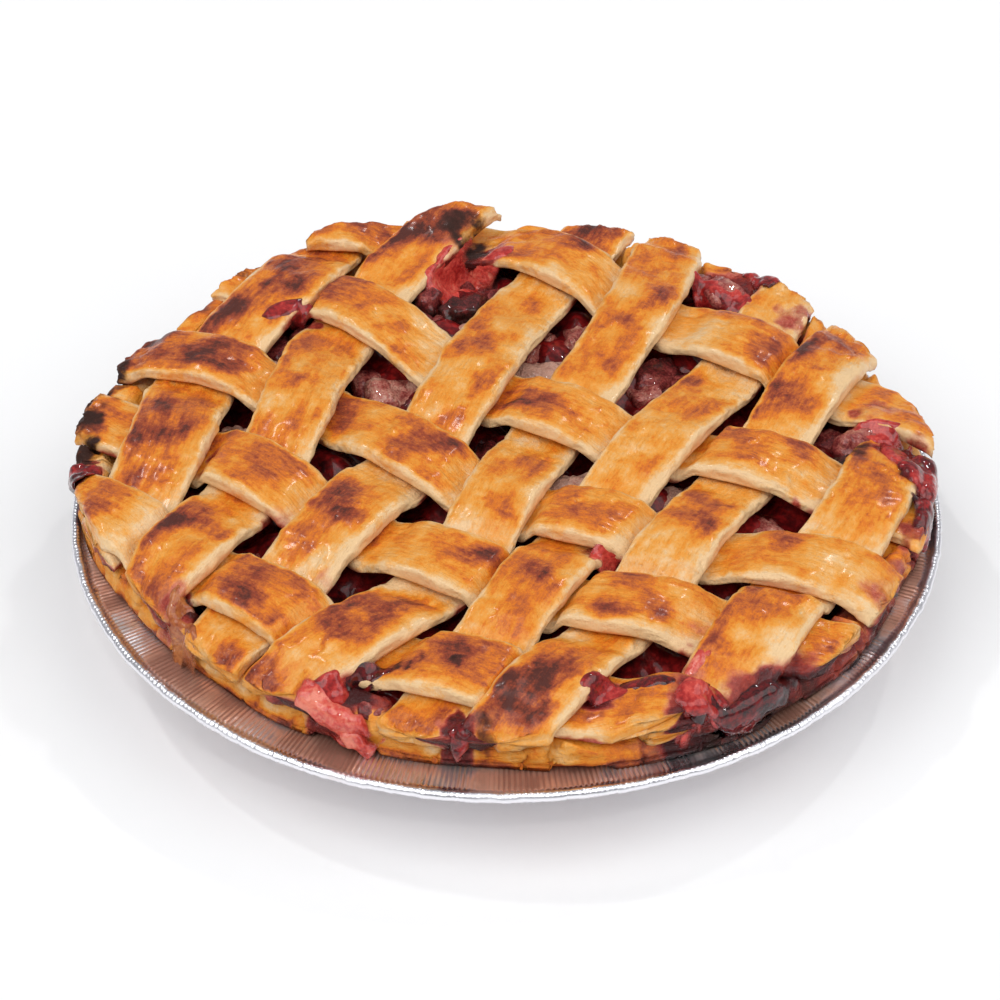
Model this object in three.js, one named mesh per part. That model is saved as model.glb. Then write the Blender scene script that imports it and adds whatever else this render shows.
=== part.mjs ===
// A strawberry rhubarb pie with a woven lattice top, in its own foil tin.
// Millimetres, +Z up. The origin is the middle of the tin's floor, and the front is towards -Y.

import * as THREE from 'three';
import { mergeVertices } from 'three/addons/utils/BufferGeometryUtils.js';

// ---- Driving dimensions ----

// The tin: a shallow foil pan with a flat flange and a rolled rim.
const TIN_RADIUS = 114.5;
const TIN_DEPTH = 24;
const TIN_FLOOR_RADIUS = 82;
const TIN_WALL_TOP_RADIUS = 101;
const FOIL = 0.6;
// The foil's width across the sloping wall.
const FOIL_ACROSS = 0.75;
const BEAD = 2.6;
const BEAD_SIDES = 8;
// The bead is open towards the flange by this share of a half turn on each side.
const BEAD_CLOSURE = 0.8;

// The gap that neighbouring pieces keep.
const GAP = 0.4;

// The pastry case.
const CASE_THICKNESS = 3.5;
const CASE_RIM_WIDTH = 9;
const CASE_LIFT = 1.0;
// The lift where the rim of the case lies on the tin's rolled rim.
const BEAD_LIFT = 1.6;
const BEAD_LIFT_START = 107.5;
const BEAD_LIFT_ZONE = 3;
// How the rim's outer face leans and how its upper edges are rounded.
const RIM_LEAN = 0.8;
const RIM_FACE = 1.4;
const RIM_ROUNDING = 1.8;
const RIM_INNER_ROUNDING = 1.5;
// How far the case reaches from the middle, every 30 degrees from +X towards +Y.
const CASE_REACH = [111, 109.5, 112, 111, 114, 112, 114, 105.3, 103.8, 104.8, 109, 108];

// The weave level: where the strips pass each other, above the flange.
const WEAVE_EDGE = 12.6;
const WEAVE_RISE = 3.4;
const WEAVE_TILT = 1.0;
const WEAVE_REACH = 109;
const SHOULDER = 16;
const SHOULDER_POWER = 2.2;
const SHOULDER_DROP = 0.6;
const SHOULDER_TILT = 1.6;

// The strips of pastry.
const OVER_THICKNESS = 4.6;
const OVER_PUFF = 0.9;
const UNDER_THICKNESS = 3.4;
const END_THICKNESS = 5.0;
const END_ZONE = 12;
// How far past a crossed strip's edge a strip keeps its level before it dives or climbs.
const CROSSING_MARGIN = 3;
const MARGIN_SHARE = 0.3;
const END_FADE = 8;
// How far past the last crossing a strip is fully laid down.
const LAYING_LENGTH = 10;
const PINCH = 0.12;
const PINCH_ZONE = 14;
const RING_STEP = 6.5;
const LEAST_RING_STEP = 0.6;
const TRIM_STEP = 0.5;
const SPAN_STEPS = 160;
// The most that one side of an end stands out past its middle, as a share of the width.
const END_SLANT = 0.4;
// The line across a strip, as a share of half its width, that a blunt end is measured from.
const BLUNT_LINE = 0.5;
const CURL_ZONE = 22;

// Each strip runs straight from one end to the other, and three waves bend it sideways on
// its way: a bow, a swing and a ripple. The ends are trimmed to the case later. A cut keeps
// the back end that far inside the case's edge, and a blunt strip's front end is squarer.
const STRIPS_A = [
  { from: [-50, 108], to: [-104, -34], waves: [-2, -1, 3.5], width: 23 },
  { from: [-16, 103], to: [-92, -63], waves: [-1.5, -5.5, -1], width: 21, curl: 6, cut: 5 },
  { from: [28, 108], to: [-67.5, -71], waves: [5, -2.5, -0.5], width: 21 },
  { from: [49, 99], to: [-60, -92], waves: [17.5, -4, 3], width: 20 },
  { from: [80.5, 76], to: [-18.5, -98], waves: [3, 1, 1], width: 19 },
  { from: [96, 51], to: [-2.5, -106], waves: [4.5, -1, 0.5], width: 19 },
  { from: [97.5, -11], to: [46.5, -93.5], waves: [1, 0.5, 1], width: 20 },
];
const STRIPS_B = [
  { from: [-40, 103.5], to: [97.5, 20.5], waves: [10.5, 6, 2], width: 22 },
  { from: [-77.5, 82], to: [104, -25], waves: [-11, 3, 4], width: 21 },
  { from: [-106.5, 45], to: [92.5, -54.5], waves: [-8.5, 6, 3], width: 20 },
  { from: [-108.5, 16.5], to: [86, -74.5], waves: [-18, 3, 1.5], width: 20 },
  { from: [-109, -20], to: [52, -100], waves: [-17, 1, 1], width: 19, blunt: true },
];

// A strip's section, from its lower left corner round to its upper left side: how far out
// it is, as a share of half the width, and how high, as a share of the thickness.
const SECTION = [
  [-0.86, 0], [0, 0], [0.86, 0], [1, 0.45], [0.84, 0.88], [0.35, 1], [-0.35, 1], [-0.84, 0.88], [-1, 0.45],
];

// The filling: chunks of fruit that stand up between deeper pools of juice.
const FILLING_CLEARANCE = 1.0;
const FILLING_DEPTH = 6.5;
const FILLING_EDGE_GAP = 3;
const FILLING_EDGE_DEPTH = 2.5;
const CHUNK_SIZE = 13;

const CASE_SEGMENTS = 60;
const FILLING_RINGS = 13;
const TIN_SEGMENTS = 64;

// ---- Finishes ----

const foilFinish = new THREE.MeshStandardMaterial({ color: 0xb9b5c2, roughness: 0.35, metalness: 1 });
const caseFinish = new THREE.MeshStandardMaterial({ color: 0xc98f4a, roughness: 0.6, metalness: 0 });
const stripFinish = new THREE.MeshStandardMaterial({ color: 0xd3913f, roughness: 0.4, metalness: 0 });
const fillingFinish = new THREE.MeshStandardMaterial({ color: 0x7c2030, roughness: 0.2, metalness: 0 });

// ---- Shared functions ----

const { clamp, lerp } = THREE.MathUtils;

function smooth(value) {
  const v = clamp(value, 0, 1);
  return v * v * (3 - 2 * v);
}

// The case's reach at an angle, as a smooth curve through the radii in CASE_REACH.
function caseReach(angle) {
  const count = CASE_REACH.length;
  const turn = (angle / (2 * Math.PI)) * count;
  const whole = Math.floor(turn);
  const f = turn - whole;
  const [a, b, c, d] = [-1, 0, 1, 2].map((k) => CASE_REACH[(whole + k + 2 * count) % count]);
  return b + 0.5 * f * (c - a + f * (2 * a - 5 * b + 4 * c - d + f * (3 * (b - c) + d - a)));
}

// The case's edge as it is crimped: the reach with small waves.
function crimpedEdge(angle) {
  return caseReach(angle) + 0.4 * Math.sin(9 * angle + 1) + 0.25 * Math.sin(17 * angle);
}

// The radius of the tin's outer wall at a height.
function tinWall(z) {
  return lerp(TIN_FLOOR_RADIUS, TIN_WALL_TOP_RADIUS, z / TIN_DEPTH);
}

// How far inside the case's edge a point is.
function insideEdge(x, y) {
  return caseReach(Math.atan2(y, x)) - Math.hypot(x, y);
}

// The height of the weave level: a low dome that rounds off in a shoulder at the edge.
function weaveLevel(x, y) {
  const r = Math.hypot(x, y);
  const dome = WEAVE_RISE * (1 - clamp(r / WEAVE_REACH, 0, 1.1) ** 3);
  const shoulder = clamp((SHOULDER - insideEdge(x, y)) / SHOULDER, 0, 1.2) ** SHOULDER_POWER;
  const drop = SHOULDER_DROP - (SHOULDER_TILT * y) / Math.max(r, 1e-6);
  return TIN_DEPTH + WEAVE_EDGE + dome + (WEAVE_TILT * y) / WEAVE_REACH - drop * shoulder;
}

// The lowest level that a strip's underside reaches.
function stripFloor(x, y) {
  return weaveLevel(x, y) - GAP / 2 - UNDER_THICKNESS;
}

// ---- The strips' plan ----

// A point on a strip's middle line, with the direction across it. t runs from 0 to 1.
function middle(strip, t) {
  const [x0, y0] = strip.from;
  const [x1, y1] = strip.to;
  const length = Math.hypot(x1 - x0, y1 - y0);
  const along = [(x1 - x0) / length, (y1 - y0) / length];
  let bend = 0;
  let slope = 0;
  strip.waves.forEach((size, k) => {
    const rate = (k + 1) * Math.PI;
    bend += size * Math.sin(rate * t);
    slope += (size * rate * Math.cos(rate * t)) / length;
  });
  const x = lerp(x0, x1, t) - along[1] * bend;
  const y = lerp(y0, y1, t) + along[0] * bend;
  const tilt = Math.hypot(1, slope);
  const across = [(-along[1] - along[0] * slope) / tilt, (along[0] - along[1] * slope) / tilt];
  return { x, y, across, length };
}

// Half the strip's width, which pinches in where the strip is pressed on the case's rim.
function halfWidth(strip, x, y) {
  const pinch = PINCH * smooth((PINCH_ZONE - insideEdge(x, y)) / PINCH_ZONE);
  return (strip.width / 2) * (1 - pinch);
}

function pointAcross(strip, t, u) {
  const m = middle(strip, t);
  const half = halfWidth(strip, m.x, m.y) * u;
  return [m.x + m.across[0] * half, m.y + m.across[1] * half];
}

// Points along a strip's middle line, for measuring how far other points are from it.
const PLAN_STEPS = 70;
const PLAN_OVERRUN = 0.15;
for (const strip of [...STRIPS_A, ...STRIPS_B]) {
  strip.plan = Array.from({ length: PLAN_STEPS + 1 }, (_, k) => {
    const m = middle(strip, lerp(-PLAN_OVERRUN, 1 + PLAN_OVERRUN, k / PLAN_STEPS));
    return { x: m.x, y: m.y, half: halfWidth(strip, m.x, m.y) };
  });
}

// How far a point is outside a strip's edge. It is negative on the strip.
function outsideStrip(strip, x, y) {
  let least = Infinity;
  for (let k = 0; k < PLAN_STEPS; k += 1) {
    const a = strip.plan[k];
    const b = strip.plan[k + 1];
    const dx = b.x - a.x;
    const dy = b.y - a.y;
    const s = clamp(((x - a.x) * dx + (y - a.y) * dy) / (dx * dx + dy * dy), 0, 1);
    const far = Math.hypot(x - a.x - s * dx, y - a.y - s * dy) - lerp(a.half, b.half, s);
    least = Math.min(least, far);
  }
  return least;
}

// Strip number i of one direction crosses over number j of the other, or under it, by turns.
function crossings(i, isA, others) {
  return others.map((other, j) => ({ other, over: (i + j) % 2 === (isA ? 1 : 0) }));
}

// ---- The strips' height ----

// The strip's underside and thickness at a point: over or under the strips that it crosses,
// with a smooth dive between them, and laid on the case's rim at its ends.
function ride(crossed, x, y) {
  const near = crossed
    .map(({ other, over }) => ({ over, gap: outsideStrip(other, x, y), half: other.width / 2 }))
    .sort((p, q) => p.gap - q.gap);
  const level = ({ over, gap, half }) => {
    const puff = OVER_PUFF * smooth(-gap / half);
    return over ? [GAP / 2, OVER_THICKNESS + puff] : [-GAP / 2 - UNDER_THICKNESS, UNDER_THICKNESS];
  };
  const outside = near.map(({ gap }) => Math.max(gap, 0));
  const margin = Math.min(CROSSING_MARGIN, MARGIN_SHARE * (outside[0] + outside[1]));
  const first = Math.max(outside[0] - margin, 0);
  const second = Math.max(outside[1] - margin, 0);
  const share = first === 0 ? 0 : smooth(first / (first + second));
  const [lowA, thickA] = level(near[0]);
  const [lowB, thickB] = level(near[1]);
  const laid = smooth(first / LAYING_LENGTH) * smooth((END_ZONE - insideEdge(x, y)) / END_FADE);
  const low = lerp(lerp(lowA, lowB, share), -GAP / 2 - UNDER_THICKNESS, laid);
  const thick = lerp(lerp(thickA, thickB, share), END_THICKNESS, laid);
  return { low: weaveLevel(x, y) + low, thick };
}

// ---- The strips' rings ----

// Where the line at u across a strip leaves the case, searched outwards from the middle.
function trim(strip, u, direction) {
  const { length } = middle(strip, 0.5);
  const step = TRIM_STEP / length;
  let t = 0.5;
  const cut = direction < 0 ? (strip.cut ?? 0) : 0;
  while (Math.abs(t - 0.5) < 0.5 + PLAN_OVERRUN && insideEdge(...pointAcross(strip, t, u)) > cut) {
    t += direction * step;
  }
  return t;
}

// The strip's end at u. Where it meets the edge at a low angle its longer side is cut short,
// so that the end doesn't run out to a point. A blunt end is measured from nearer its shorter side.
function endAt(strip, u, direction) {
  const { length } = middle(strip, 0.5);
  const most = (END_SLANT * strip.width) / length;
  const own = trim(strip, u, direction);
  if (direction < 0) return Math.max(own, trim(strip, 0, -1) - most);
  const lines = strip.blunt ? [-BLUNT_LINE, BLUNT_LINE] : [0];
  const limit = Math.min(...lines.map((line) => trim(strip, line, 1)));
  return Math.min(own, limit + most);
}

// Where the line at u goes onto a crossed strip and where it leaves it.
function crossingSpan(strip, u, other, start, end) {
  const ts = Array.from({ length: SPAN_STEPS + 1 }, (_, k) => lerp(start, end, k / SPAN_STEPS));
  const outside = ts.map((t) => outsideStrip(other, ...pointAcross(strip, t, u)));
  const first = outside.findIndex((gap) => gap < 0);
  if (first < 0) return null;
  const last = outside.length - 1 - [...outside].reverse().findIndex((gap) => gap < 0);
  const edge = (k, m) => lerp(ts[k], ts[m], outside[k] / (outside[k] - outside[m]));
  const enter = first === 0 ? start : edge(first - 1, first);
  const leave = last === SPAN_STEPS ? end : edge(last + 1, last);
  return [enter, leave];
}

// The places of all rings along the line at u. Rings lie along the edges of the crossed
// strips, so that a facet never spans a step in height.
function stations(strip, crossed, u, counts) {
  const start = endAt(strip, u, -1);
  const end = endAt(strip, u, 1);
  const marks = [start];
  for (const { other } of crossed) {
    const centre = crossingSpan(strip, 0, other, endAt(strip, 0, -1), endAt(strip, 0, 1));
    if (centre) marks.push(...(crossingSpan(strip, u, other, start, end) ?? centre));
  }
  marks.push(end);
  marks.sort((p, q) => p - q);
  const { length } = middle(strip, 0.5);
  const least = LEAST_RING_STEP / length;
  for (let k = 1; k < marks.length; k += 1) marks[k] = Math.max(marks[k], marks[k - 1] + least);
  marks[marks.length - 1] = end;
  for (let k = marks.length - 2; k >= 0; k -= 1) marks[k] = Math.min(marks[k], marks[k + 1] - least);
  const steps = counts ?? marks.slice(1).map((mark, k) => ringCount((mark - marks[k]) * length));
  const places = [marks[0]];
  steps.forEach((count, k) => {
    for (let n = 1; n <= count; n += 1) places.push(lerp(marks[k], marks[k + 1], n / count));
  });
  return { places, steps };
}

function ringCount(distance) {
  return Math.max(1, Math.round(distance / RING_STEP));
}

// ---- Mesh helpers ----

function closedBody(geometry) {
  geometry.deleteAttribute('normal');
  geometry.deleteAttribute('uv');
  const body = mergeVertices(geometry, 1e-4);
  body.computeVertexNormals();
  return body;
}

// A profile of [radius, height] points turned about the upright axis.
function turned(profile, segments) {
  const points = profile.map(([r, z]) => new THREE.Vector2(r, z));
  const geometry = new THREE.LatheGeometry(points, segments);
  geometry.rotateX(Math.PI / 2);
  return closedBody(geometry);
}

// Each vertex of a body is moved by a function of its place.
function reshape(geometry, place) {
  const position = geometry.getAttribute('position');
  for (let k = 0; k < position.count; k += 1) {
    position.setXYZ(k, ...place(position.getX(k), position.getY(k), position.getZ(k)));
  }
  geometry.computeVertexNormals();
  return geometry;
}

function named(name, geometry, material) {
  const mesh = new THREE.Mesh(geometry, material.clone());
  mesh.name = name;
  return mesh;
}

// ---- The pieces ----

// One strip: a closed tube with flat ends. Its columns are the points of the section.
function latticeStrip(name, strip, crossed) {
  const { steps } = stations(strip, crossed, 0, null);
  const lines = SECTION.map(([u]) => stations(strip, crossed, u, steps).places);
  const rings = lines[0].length - 1;
  const startOf = middle(strip, endAt(strip, 0, -1));

  const sectionPoint = (column, ring) => {
    const [u, share] = SECTION[column];
    const [x, y] = pointAcross(strip, lines[column][ring], u);
    const { low, thick } = ride(crossed, x, y);
    const fromEnd = Math.hypot(x - startOf.x, y - startOf.y);
    const curl = (strip.curl ?? 0) * smooth((CURL_ZONE - fromEnd) / CURL_ZONE);
    return [x, y, low + share * thick + curl];
  };

  // The section with its end faces is first a plain tube: heights are the ring numbers.
  const tube = closedBody(new THREE.CylinderGeometry(1, 1, rings, SECTION.length, rings));
  return named(name, reshape(tube, (x, y, z) => {
    const ring = Math.round(rings / 2 - y);
    if (Math.hypot(x, z) < 0.5) {
      const all = SECTION.map((_, column) => sectionPoint(column, ring));
      return [0, 1, 2].map((axis) => all.reduce((sum, point) => sum + point[axis], 0) / all.length);
    }
    const turn = Math.atan2(-x, z) / (2 * Math.PI);
    const column = Math.round(turn * SECTION.length + SECTION.length) % SECTION.length;
    return sectionPoint(column, ring);
  }), stripFinish);
}

// Radii past RIM_MARK stand for a distance inside the case's edge, and heights past TOP_MARK
// for a distance under the strips, until a turned body is reshaped.
const RIM_MARK = 500;
const TOP_MARK = 500;
const TIN_INSET = FOIL_ACROSS + GAP;
const CASE_INSET = TIN_INSET + CASE_THICKNESS;

// The case: a bowl of pastry that lines the tin, with a rim that lies on the flange.
function pastryCase() {
  const floor = FOIL + GAP;
  const floorTop = floor + CASE_THICKNESS;
  const rim = TIN_DEPTH + GAP;
  const halfWay = TIN_DEPTH / 2;
  const profile = [
    [0, floor],
    [tinWall(floor) - TIN_INSET, floor],
    [tinWall(halfWay) - TIN_INSET, halfWay],
    [tinWall(rim - 1) - TIN_INSET, rim - 1],
    [TIN_WALL_TOP_RADIUS + 0.2, rim + CASE_LIFT / 2],
    [RIM_MARK - RIM_LEAN, rim + CASE_LIFT],
    [RIM_MARK, rim + CASE_LIFT + RIM_FACE],
    [RIM_MARK - RIM_LEAN / 2, TOP_MARK - RIM_ROUNDING / 1.5],
    [RIM_MARK - RIM_ROUNDING, TOP_MARK],
    [RIM_MARK - CASE_RIM_WIDTH + RIM_INNER_ROUNDING, TOP_MARK],
    [RIM_MARK - CASE_RIM_WIDTH, TOP_MARK - RIM_INNER_ROUNDING],
    [tinWall(halfWay) - CASE_INSET, halfWay],
    [tinWall(floorTop) - CASE_INSET, floorTop],
    [0, floorTop],
  ];
  return named('pastry_case', reshape(turned(profile, CASE_SEGMENTS), (x, y, z) => {
    const r = Math.hypot(x, y);
    if (r < 1e-6) return [0, 0, z];
    const angle = Math.atan2(y, x);
    const onRim = r > RIM_MARK / 2;
    const radius = onRim ? crimpedEdge(angle) - (RIM_MARK - r) : r;
    const px = radius * Math.cos(angle);
    const py = radius * Math.sin(angle);
    if (z > TOP_MARK / 2) return [px, py, stripFloor(px, py) - GAP - (TOP_MARK - z)];
    const lift = onRim ? BEAD_LIFT * smooth((radius - BEAD_LIFT_START) / BEAD_LIFT_ZONE) : 0;
    return [px, py, z + lift];
  }), caseFinish);
}

// Chunks of fruit as a pattern of bumps, from 0 in the pools to 1 on a chunk.
function chunks(x, y) {
  const rate = Math.PI / CHUNK_SIZE;
  const bent = Math.sin(rate * (x + 5 * Math.sin(y / 11)));
  const crossed = Math.sin(rate * (y + 6 * Math.sin(x / 9)));
  return 0.5 + 0.5 * bent * crossed;
}

// The filling: solid from the case's floor up to the fruit that shows through the lattice.
function filling() {
  const floor = FOIL + 2 * GAP + CASE_THICKNESS;
  const halfWay = TIN_DEPTH / 2;
  const inset = CASE_INSET + GAP;
  const profile = [
    [0, floor],
    [tinWall(floor) - inset, floor],
    [tinWall(halfWay) - inset, halfWay],
  ];
  for (let k = FILLING_RINGS; k >= 0; k -= 1) profile.push([(RIM_MARK * k) / FILLING_RINGS, TOP_MARK]);
  return named('filling', reshape(turned(profile, CASE_SEGMENTS), (x, y, z) => {
    if (z < TOP_MARK / 2) return [x, y, z];
    const share = Math.hypot(x, y) / RIM_MARK;
    const angle = Math.atan2(y, x);
    const radius = share * (crimpedEdge(angle) - CASE_RIM_WIDTH - FILLING_EDGE_GAP);
    const px = radius * Math.cos(angle);
    const py = radius * Math.sin(angle);
    const depth = share > 0.99 ? FILLING_EDGE_DEPTH : FILLING_DEPTH * (1 - chunks(px, py));
    return [px, py, stripFloor(px, py) - FILLING_CLEARANCE - depth];
  }), fillingFinish);
}

// The tin: one sheet of foil, pressed into floor, wall and flange, with its rim rolled.
function foilTin() {
  const bead = BEAD / 2;
  const beadRadius = TIN_RADIUS - bead;
  const profile = [
    [0, 0],
    [TIN_FLOOR_RADIUS, 0],
    [TIN_WALL_TOP_RADIUS, TIN_DEPTH - FOIL],
    [beadRadius - bead, TIN_DEPTH - FOIL],
  ];
  // The bead is a round section, joined to the flange along its inner side.
  for (let k = 0; k <= BEAD_SIDES; k += 1) {
    const angle = BEAD_CLOSURE * Math.PI * lerp(-1, 1, k / BEAD_SIDES);
    profile.push([beadRadius + bead * Math.cos(angle), TIN_DEPTH + bead * Math.sin(angle)]);
  }
  profile.push(
    [beadRadius - bead, TIN_DEPTH],
    [TIN_WALL_TOP_RADIUS, TIN_DEPTH],
    [tinWall(FOIL) - FOIL_ACROSS, FOIL],
    [0, FOIL],
  );
  return named('foil_tin', turned(profile, TIN_SEGMENTS), foilFinish);
}

// ---- The whole ----

const pie = new THREE.Group();
pie.add(foilTin());
pie.add(pastryCase());
pie.add(filling());
STRIPS_A.forEach((strip, i) => {
  pie.add(latticeStrip(`lattice_a${i + 1}`, strip, crossings(i, true, STRIPS_B)));
});
STRIPS_B.forEach((strip, j) => {
  pie.add(latticeStrip(`lattice_b${j + 1}`, strip, crossings(j, false, STRIPS_A)));
});

export default pie;
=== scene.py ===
# %% [markdown]
# # A strawberry rhubarb pie in its foil tin
# A fruit pie is a bowl of pastry full of fruit, closed with strips of pastry that are woven
# over and under each other. It is baked and sold in a thin foil tin. This lesson dresses a
# measured solid model of such a pie: the solids give sizes and places, and every visible
# piece is made again here with its crust, wrinkles, burns and juice.

# %% Load the measured model
import math

import bmesh
import bpy
import numpy as np
from mathutils import Matrix, Vector


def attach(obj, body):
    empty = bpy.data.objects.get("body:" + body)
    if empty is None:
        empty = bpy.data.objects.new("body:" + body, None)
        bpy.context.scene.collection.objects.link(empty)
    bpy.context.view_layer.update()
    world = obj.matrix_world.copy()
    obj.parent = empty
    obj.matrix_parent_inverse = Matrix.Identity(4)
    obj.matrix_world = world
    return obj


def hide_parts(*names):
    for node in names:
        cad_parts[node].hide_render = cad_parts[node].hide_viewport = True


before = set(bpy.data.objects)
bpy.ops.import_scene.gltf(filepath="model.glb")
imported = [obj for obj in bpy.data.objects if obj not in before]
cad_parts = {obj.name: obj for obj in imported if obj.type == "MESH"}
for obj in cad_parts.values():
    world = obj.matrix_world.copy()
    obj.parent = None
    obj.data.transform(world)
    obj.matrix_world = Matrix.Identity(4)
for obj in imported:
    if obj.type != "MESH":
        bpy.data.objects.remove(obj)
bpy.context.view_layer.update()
print("nodes:", len(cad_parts))

# %% [markdown]
# ## Camera
# The pie is seen from the front and from above, at about 38 degrees. The camera is placed
# by numbers, because the ellipse of the tin's rim fixes both the angle and the distance.

# %% Place the camera
CAMERA_PLACE = (0, -0.5207, 0.4354)
CAMERA_TILT = 51.69

camera_data = bpy.data.cameras.new("camera")
camera_data.lens = 90
camera_data.sensor_width = 36
camera_data.shift_x = -0.0067
camera_data.shift_y = -0.008
camera = bpy.data.objects.new("camera", camera_data)
camera.location = CAMERA_PLACE
camera.rotation_euler = (math.radians(CAMERA_TILT), 0, 0)
bpy.context.scene.collection.objects.link(camera)
bpy.context.scene.camera = camera
print("camera at", CAMERA_PLACE)

# %% [markdown]
# ## Studio
# Food is lit softly from above, with a wide key light at the left and a wide fill at the
# right. Three narrow weak lights make wet fruit and glaze glint in small white points. Suns
# light the whole floor evenly, so that it stays plain and pale. A pale world fills the
# shadows, and the plain view transform keeps the crust's colours as set.

# %% Set the lights
def soft_sun(name, place, strength, width):
    light = bpy.data.lights.new(name, "SUN")
    light.energy = strength
    light.angle = math.radians(width)
    thing = bpy.data.objects.new(name, light)
    thing.location = place
    thing.rotation_euler = (-Vector(place)).to_track_quat("-Z", "Y").to_euler()
    bpy.context.scene.collection.objects.link(thing)


soft_sun("key_left", (-0.55, -0.45, 1.0), 1.45, 55)
soft_sun("fill_right", (0.75, -0.30, 0.85), 1.12, 60)
soft_sun("glint_left", (-0.50, 0.35, 0.90), 0.28, 3)
soft_sun("glint_right", (0.45, 0.60, 0.85), 0.24, 3)
soft_sun("glint_front", (0.10, -0.60, 0.90), 0.16, 3)

world = bpy.data.worlds.new("studio")
world.use_nodes = True
world.node_tree.nodes["Background"].inputs["Color"].default_value = (0.93, 0.95, 1, 1)
world.node_tree.nodes["Background"].inputs["Strength"].default_value = 0.30
bpy.context.scene.world = world
bpy.context.scene.view_settings.view_transform = "Standard"
print("lights set")

# %% [markdown]
# ## Small tools
# A few helpers serve every step. One adds a shader node with its settings, one turns a
# bmesh into an object, and one stores a value for each vertex. Such a value is an
# attribute, and a material can read it: that is how burns and stains get to their places.

# %% Define the helpers
MM = 0.001


def add_node(tree, kind, inputs=None, **settings):
    made = tree.nodes.new(kind)
    for key, value in settings.items():
        setattr(made, key, value)
    for key, value in (inputs or {}).items():
        if isinstance(value, bpy.types.NodeSocket):
            tree.links.new(value, made.inputs[key])
        else:
            made.inputs[key].default_value = value
    return made


def store(mesh, name, values):
    values = np.asarray(values, dtype=np.float32)
    kind, field = ("FLOAT", "value") if values.ndim == 1 else ("FLOAT_VECTOR", "vector")
    layer = mesh.attributes.new(name, kind, "POINT")
    layer.data.foreach_set(field, values.ravel())


def finish_piece(name, bm, material, values=None, node=None):
    bmesh.ops.recalc_face_normals(bm, faces=bm.faces)
    mesh = bpy.data.meshes.new(name)
    bm.to_mesh(mesh)
    bm.free()
    mesh.shade_smooth()
    for key, numbers in (values or {}).items():
        store(mesh, key, numbers)
    mesh.materials.append(material)
    piece = bpy.data.objects.new(name, mesh)
    bpy.context.scene.collection.objects.link(piece)
    if node:
        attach(piece, "root")
        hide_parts(node)
    print(name, len(mesh.polygons), "faces")
    return piece


def places_of(bm):
    return np.array([vert.co[:] for vert in bm.verts])


def move_to(bm, places):
    for vert, place in zip(bm.verts, places):
        vert.co = place


def smooth(value):
    value = np.clip(value, 0, 1)
    return value * value * (3 - 2 * value)


def mix(a, b, share):
    return a + (b - a) * share


print("helpers ready")

# %% [markdown]
# ## Roughness from numbers
# Dough never bakes smooth. Bumps come from value noise: random heights at the corners of a
# grid, blended smoothly between them. It is written with arrays, because each strip has
# tens of thousands of vertices. A seed keeps it the same in every run.

# %% Define the noise
def corner_height(ix, iy, iz, seed):
    mixed = (ix * 374761393 + iy * 668265263 + iz * 1440662683 + seed * 974634777) & 0xFFFFFFFF
    mixed = ((mixed ^ (mixed >> 13)) * 1274126177) & 0xFFFFFFFF
    return ((mixed ^ (mixed >> 16)) & 0xFFFF) / 32767.5 - 1


def bumps(x, y, z, size, seed=0):
    """Smooth bumps of about that size in millimetres, from -1 to 1."""
    scaled = [np.asarray(v, dtype=float) / size for v in np.broadcast_arrays(x, y, z)]
    whole = [np.floor(v).astype(np.int64) for v in scaled]
    fx, fy, fz = (smooth(v - w) for v, w in zip(scaled, whole))
    ix, iy, iz = whole

    def slab(dz):
        rows = [
            mix(corner_height(ix, iy + dy, iz + dz, seed), corner_height(ix + 1, iy + dy, iz + dz, seed), fx)
            for dy in (0, 1)
        ]
        return mix(rows[0], rows[1], fy)

    return mix(slab(0), slab(1), fz)


def rough(x, y, z, size, seed=0, octaves=3):
    total = 0
    for k in range(octaves):
        total = total + bumps(x, y, z, size / 2**k, seed + 17 * k) / 2**k
    return total / 1.6


print("noise at the middle:", round(float(bumps(0.3, 0.4, 0.5, 1.0)), 3))

# %% [markdown]
# ## The pie's dimensions
# These are the numbers that the solids were made from, in millimetres. The same functions
# of them give each visible piece its form, so a strip here lies exactly on its solid.

# %% Name the dimensions
TIN_RADIUS, TIN_DEPTH, TIN_FLOOR_RADIUS, TIN_WALL_TOP_RADIUS = 114.5, 24, 82, 101
FOIL, BEAD, GAP = 0.6, 2.6, 0.4
CASE_THICKNESS, CASE_RIM_WIDTH, CASE_LIFT, BEAD_LIFT = 3.5, 9, 1.0, 1.6
CASE_REACH = np.array([111, 109.5, 112, 111, 114, 112, 114, 105.3, 103.8, 104.8, 109, 108])
WEAVE_EDGE, WEAVE_RISE, WEAVE_TILT, WEAVE_REACH = 12.6, 3.4, 1.0, 109
SHOULDER, SHOULDER_DROP, SHOULDER_TILT = 16, 0.6, 1.6
OVER_THICKNESS, OVER_PUFF, UNDER_THICKNESS, END_THICKNESS = 4.6, 0.9, 3.4, 5.0
END_ZONE, END_FADE = 12, 8
PINCH, PINCH_ZONE, CURL_ZONE = 0.12, 14, 22
FILLING_CLEARANCE, FILLING_DEPTH, CHUNK_SIZE = 1.0, 6.5, 13

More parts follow.
